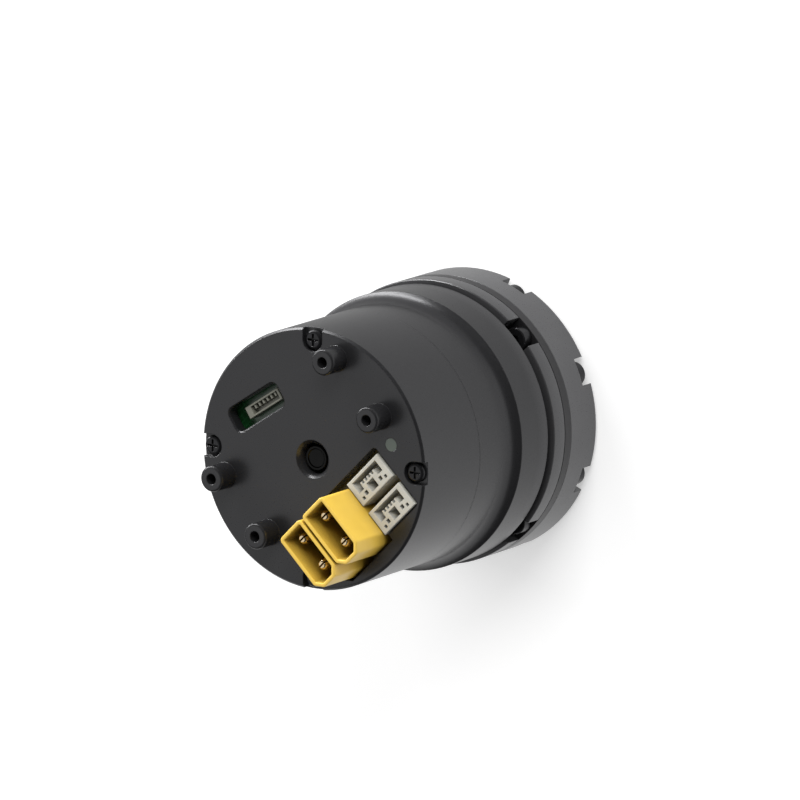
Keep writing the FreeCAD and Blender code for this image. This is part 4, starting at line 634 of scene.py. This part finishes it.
def joined(parts):
    """Several closed surfaces as one mesh."""
    vertices, faces = [], []
    for points, sides in parts:
        start = sum(len(v) for v in vertices)
        vertices.append(points)
        faces += [tuple(start + i for i in side) for side in sides]
    return np.vstack(vertices), faces


def rounded_outline(corners, inset, rounding):
    """A convex outline, counter-clockwise, drawn in by the inset. A corner that turns by t gets an arc of
    radius r that starts r tan(t / 2) before it: p(a) = centre + r (d sin a - n cos a), with a from 0 to t,
    where d is the direction of travel and n points inward."""
    corners = np.array(corners)
    ways = np.roll(corners, -1, axis=0) - corners
    ways /= np.linalg.norm(ways, axis=1)[:, None]
    inward = np.column_stack((-ways[:, 1], ways[:, 0]))
    points = []
    for i, corner in enumerate(corners):
        way, n = ways[i - 1], inward[i - 1]
        turn = math.acos(np.clip(way @ ways[i], -1, 1))
        tip = corner + inset * (n + inward[i]) / (1 + n @ inward[i])
        centre = tip - way * rounding * math.tan(turn / 2) + n * rounding
        for a in np.linspace(0, turn, ARC_STEPS + 1):
            points.append(centre + rounding * (way * math.sin(a) - n * math.cos(a)))
    return np.array(points)


def plug(name, rings):
    """A closed solid that is only used to cut another one."""
    mesh = bpy.data.meshes.new(name)
    points, faces = skin(rings)
    mesh.from_pydata(points.tolist(), [], faces)
    solid = bpy.data.objects.new(name, mesh)
    bpy.context.scene.collection.objects.link(solid)
    return solid


def cover_plugs(face):
    """The slot's plug and the centre hole's. Each flares by 45 degrees up to the rear face and a little
    past it."""
    half_long, half_wide = SLOT_SIZE[0] / 2, SLOT_SIZE[1] / 2
    corners = [
        (-half_long, -half_wide),
        (half_long, -half_wide),
        (half_long, half_wide),
        (-half_long, half_wide),
    ]
    cos, sin = math.cos(SLOT_TURN), math.sin(SLOT_TURN)
    turn = np.array(((cos, sin), (-sin, cos)))
    slot_rings = []
    levels = ((0, face - SLOT_DEPTH), (0, face - SLOT_EDGE), (SLOT_EDGE + OVERCUT, face + OVERCUT))
    for outset, height in levels:
        outline = rounded_outline(corners, -outset, SLOT_ROUNDING + outset)
        slot_rings.append(at_height(outline @ turn + SLOT_CENTRE, height))
    circle = unit_circle(HOLE_SIDES)
    hole_rings = []
    for rise in (-HOLE_FLARE, OVERCUT):
        hole_rings.append(at_height(circle * (HOLE_MOUTH_RADIUS + rise), face + rise))
    return plug("slot_plug", slot_rings), plug("hole_plug", hole_rings)


def add_cover():
    """The CAD cover's own surface, merged, less the two plugs. Its slot is a little longer than the CAD
    one, and the edges of the slot and the centre hole are flared."""
    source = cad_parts["rear_cover"]
    mesh = source.data.copy()
    mesh.transform(source.matrix_world)
    work = bmesh.new()
    work.from_mesh(mesh)
    bmesh.ops.remove_doubles(work, verts=work.verts, dist=MERGE_DISTANCE)
    work.to_mesh(mesh)
    work.free()
    blank = bpy.data.objects.new("cover_blank", mesh)
    bpy.context.scene.collection.objects.link(blank)
    plugs = cover_plugs(REAR_FACE.z)
    for solid in plugs:
        cut = blank.modifiers.new(solid.name, "BOOLEAN")
        cut.object = solid
        cut.solver = "EXACT"
    shape = blank.evaluated_get(bpy.context.evaluated_depsgraph_get()).to_mesh()
    points = np.array([vertex.co for vertex in shape.vertices])
    faces = [tuple(face.vertices) for face in shape.polygons]
    for spent in (blank, *plugs):
        bpy.data.objects.remove(spent)
    add_piece("rear_cover_cut", points, faces, "housing", "black_anodised", ["rear_cover"], smooth=True)


def shell_corners(low, high):
    """The power socket's outline: square at its far end, with both corners cut at the near end."""
    return [
        (low.x, low.y + SHELL_CUT),
        (low.x + SHELL_CUT, low.y),
        (high.x - SHELL_CUT, low.y),
        (high.x, low.y + SHELL_CUT),
        (high.x, high.y),
        (low.x, high.y),
    ]


def add_power_shell(letter):
    """A thin shell. Its profile goes up the outside, over the lip by two quarter circles and down to the
    cavity's floor: (inset, height) = (l - l cos a, top - l + l sin a), and the same mirrored in the wall's
    middle."""
    node = f"power_connector_{letter}"
    low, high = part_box(node)
    corners = shell_corners(low, high)
    over = []
    for a in np.linspace(0, math.pi / 2, ARC_STEPS):
        over.append((SHELL_LIP * (1 - math.cos(a)), high.z - SHELL_LIP * (1 - math.sin(a))))
    back = [(SHELL_WALL - inset, height) for inset, height in reversed(over)]
    profile = [(0, low.z), *over, *back, (SHELL_WALL, low.z + SHELL_FLOOR)]
    rings = []
    for inset, height in profile:
        share = inset / SHELL_WALL
        rounding = SHELL_ROUNDING * (1 - share) + SHELL_INNER_ROUNDING * share
        rings.append(at_height(rounded_outline(corners, inset, rounding), height))
    add_piece(f"power_shell_{letter}", *skin(rings), "housing", "yellow_plastic", [node], smooth=True)


def prong(centre, side, low, high):
    """Half of a split pin. Its ring at height z is the part of a circle of radius r on one side of the
    slit. Over the taper t the radius follows a quarter ellipse: z = top - t (1 - sin a), r = tip + (full -
    tip) cos a."""
    steps = [(low, PIN_RADIUS)]
    for a in np.linspace(0, math.pi / 2, PIN_TIP_STEPS):
        height = high - PIN_TAPER * (1 - math.sin(a))
        steps.append((height, PIN_TIP_RADIUS + (PIN_RADIUS - PIN_TIP_RADIUS) * math.cos(a)))
    first_angle = 0 if side > 0 else math.pi
    rings = []
    for height, radius in steps:
        start = math.asin(PIN_SLIT / 2 / radius)
        angle = np.linspace(start, math.pi - start, PIN_ARC_POINTS) + first_angle
        arc = np.column_stack((centre[0] + radius * np.cos(angle), centre[1] + radius * np.sin(angle)))
        rings.append(at_height(arc, height))
    return skin(rings)


def add_power_pins():
    """Four split pins, two in each shell, at the ends of the CAD pins' own box."""
    low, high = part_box("power_pins")
    columns = (low.x + PIN_RADIUS, high.x - PIN_RADIUS)
    rows = (low.y + PIN_RADIUS, high.y - PIN_RADIUS)
    places = [(x, y) for x in columns for y in rows]
    parts = [prong(place, side, low.z, high.z) for place in places for side in (-1, 1)]
    add_piece("power_prongs", *joined(parts), "housing", "gold_pin", ["power_pins"], smooth=True)


def inside(across, along, box):
    """1 inside a box and 0 outside, with a steep ramp at its sides."""
    left, right, near, far = (edge * MM for edge in box)
    within = np.minimum.reduce((across - left, right - across, along - near, far - along))
    return np.clip(within / RAMP + 0.5, 0, 1)


def centred(middle, half_width, near, far):
    """A box whose middle is that far from the left end."""
    return middle - half_width, middle + half_width, near, far


def height_block(centre, size, turn, base, top, depth_at):
    """A block whose top is a height map z = top - depth(a, b) on an even grid. Its upper edge falls by a
    quarter circle, e - sqrt(e^2 - (e - s)^2) at a distance s from the side, and its sides go straight down
    to the base."""
    width, depth = size
    columns = np.linspace(0, width, round(width / GRID_STEP) + 1)
    rows = np.linspace(0, depth, round(depth / GRID_STEP) + 1)
    a, b = np.meshgrid(columns, rows)
    border = np.minimum.reduce((a, width - a, b, depth - b, np.full(a.shape, SOCKET_EDGE)))
    edge = SOCKET_EDGE - np.sqrt(SOCKET_EDGE ** 2 - (SOCKET_EDGE - border) ** 2)
    height = top - np.maximum(edge, depth_at(a, b))
    x, y = a - width / 2, b - depth / 2
    cos, sin = math.cos(turn), math.sin(turn)
    grid = np.stack((centre[0] + x * cos - y * sin, centre[1] + x * sin + y * cos, height), axis=-1)
    index = np.arange(a.size).reshape(a.shape)
    quads = np.stack((index[:-1, :-1], index[:-1, 1:], index[1:, 1:], index[1:, :-1]), axis=-1)
    faces = quads.reshape(-1, 4).tolist()
    ring = np.concatenate((index[0, :-1], index[:-1, -1], index[-1, :0:-1], index[:0:-1, 0]))
    top_points = grid.reshape(-1, 3)
    foot_points = top_points[ring].copy()
    foot_points[:, 2] = base
    foot = a.size + np.arange(len(ring))
    for i in range(len(ring)):
        j = (i + 1) % len(ring)
        faces.append((foot[i], foot[j], ring[j], ring[i]))
    faces.append(tuple(foot[::-1]))
    return np.vstack((top_points, foot_points)), [tuple(int(i) for i in face) for face in faces]


def signal_depth(a, b):
    """The signal socket: a cavity with a comb-edged tongue, a latch window, and a pocket and a dot on each
    side."""
    cut = inside(a, b, SIGNAL_CAVITY) * (1 - inside(a, b, SIGNAL_TONGUE))
    for step in SIGNAL_TEETH:
        tooth = centred(SIGNAL_MIDDLE + SIGNAL_PITCH * step, *SIGNAL_TOOTH)
        cut = cut * (1 - inside(a, b, tooth))
    openings = [SIGNAL_WINDOW]
    for sign in (-1, 1):
        openings.append(centred(SIGNAL_MIDDLE + SIGNAL_POCKET_ASIDE * sign, *SIGNAL_POCKET))
        openings.append(centred(SIGNAL_MIDDLE + SIGNAL_DOT_ASIDE * sign, *SIGNAL_DOT))
    for opening in openings:
        cut = np.maximum(cut, inside(a, b, opening))
    return cut * SIGNAL_CAVITY_DEPTH


def service_depth(a, b):
    """The service socket: a shallow cavity with low teeth along its far side."""
    cut = inside(a, b, SERVICE_CAVITY)
    for step in range(SERVICE_TEETH):
        left = SERVICE_FIRST_TOOTH + step * SERVICE_PITCH
        tooth = (left, left + SERVICE_TOOTH_WIDTH, *SERVICE_TOOTH_REACH)
        cut = cut * (1 - SERVICE_TOOTH_HEIGHT * inside(a, b, tooth))
    return cut * SERVICE_CAVITY_DEPTH


def small_box(low, high):
    """A closed box from its low corner to its high one."""
    corners = np.array([(low[0], low[1]), (high[0], low[1]), (high[0], high[1]), (low[0], high[1])])
    return skin([at_height(corners, low[2]), at_height(corners, high[2])])


def add_sockets():
    """The two signal sockets with their blades, and the service socket on the board below the slot."""
    blades = []
    for letter in "ab":
        node = f"signal_connector_{letter}"
        low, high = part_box(node)
        centre, size = (low + high) / 2, high - low
        block = height_block(centre, (size.x, size.y), 0, low.z, high.z, signal_depth)
        add_piece(f"signal_socket_{letter}", *block, "housing", "grey_plastic", [node])
        foot, tip = high.z - SIGNAL_CAVITY_DEPTH, high.z - SIGNAL_BLADE_DROP
        near = low.y + SIGNAL_BLADE_NEAR
        far = near + SIGNAL_BLADE_THICKNESS
        for step in SIGNAL_GAPS:
            x = centre.x + (step + 0.5) * SIGNAL_PITCH * MM
            blades.append(small_box((x - SIGNAL_BLADE_HALF, near, foot), (x + SIGNAL_BLADE_HALF, far, tip)))
    add_piece("signal_blades", *joined(blades), "housing", "tin_contact", ["signal_contacts"])
    low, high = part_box("service_connector")
    block = height_block(SERVICE_CENTRE, SERVICE_SIZE, SERVICE_TURN, low.z, high.z, service_depth)
    # The service socket takes the darker shaded_plastic finish: painted shade for its place down in the slot.
    add_piece("service_socket", *block, "housing", "grey_plastic", ["service_connector", "service_contacts"],
              finish="shaded_plastic")


def add_shaft_cap():
    """A dark cap on the shaft's end with a shallow recess: (radius, height) pairs turned about the axis."""
    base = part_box("rotor_shaft")[1].z
    top = base + CAP_HEIGHT
    profile = [
        (CAP_RADIUS, base),
        (CAP_RADIUS, top - CAP_EDGE),
        (CAP_RADIUS - CAP_EDGE, top),
        (CAP_RECESS_RADIUS, top),
        (CAP_RECESS_RADIUS - CAP_RECESS, top - CAP_RECESS),
    ]
    circle = unit_circle(CAP_SIDES)
    rings = [at_height(radius * circle, height) for radius, height in profile]
    add_piece("shaft_cap", *skin(rings), "rotor", "chip_black", smooth=True, finish="shaft_black")


# ---------------------------------------------------------------- the scene

add_camera()
add_lights()
add_floor()
light_room()
finishes = make_finishes()
dress_nodes(finishes)
add_cover()
add_power_shell("a")
add_power_shell("b")
add_power_pins()
add_sockets()
add_shaft_cap()

bpy.context.scene.view_settings.view_transform = "Standard"
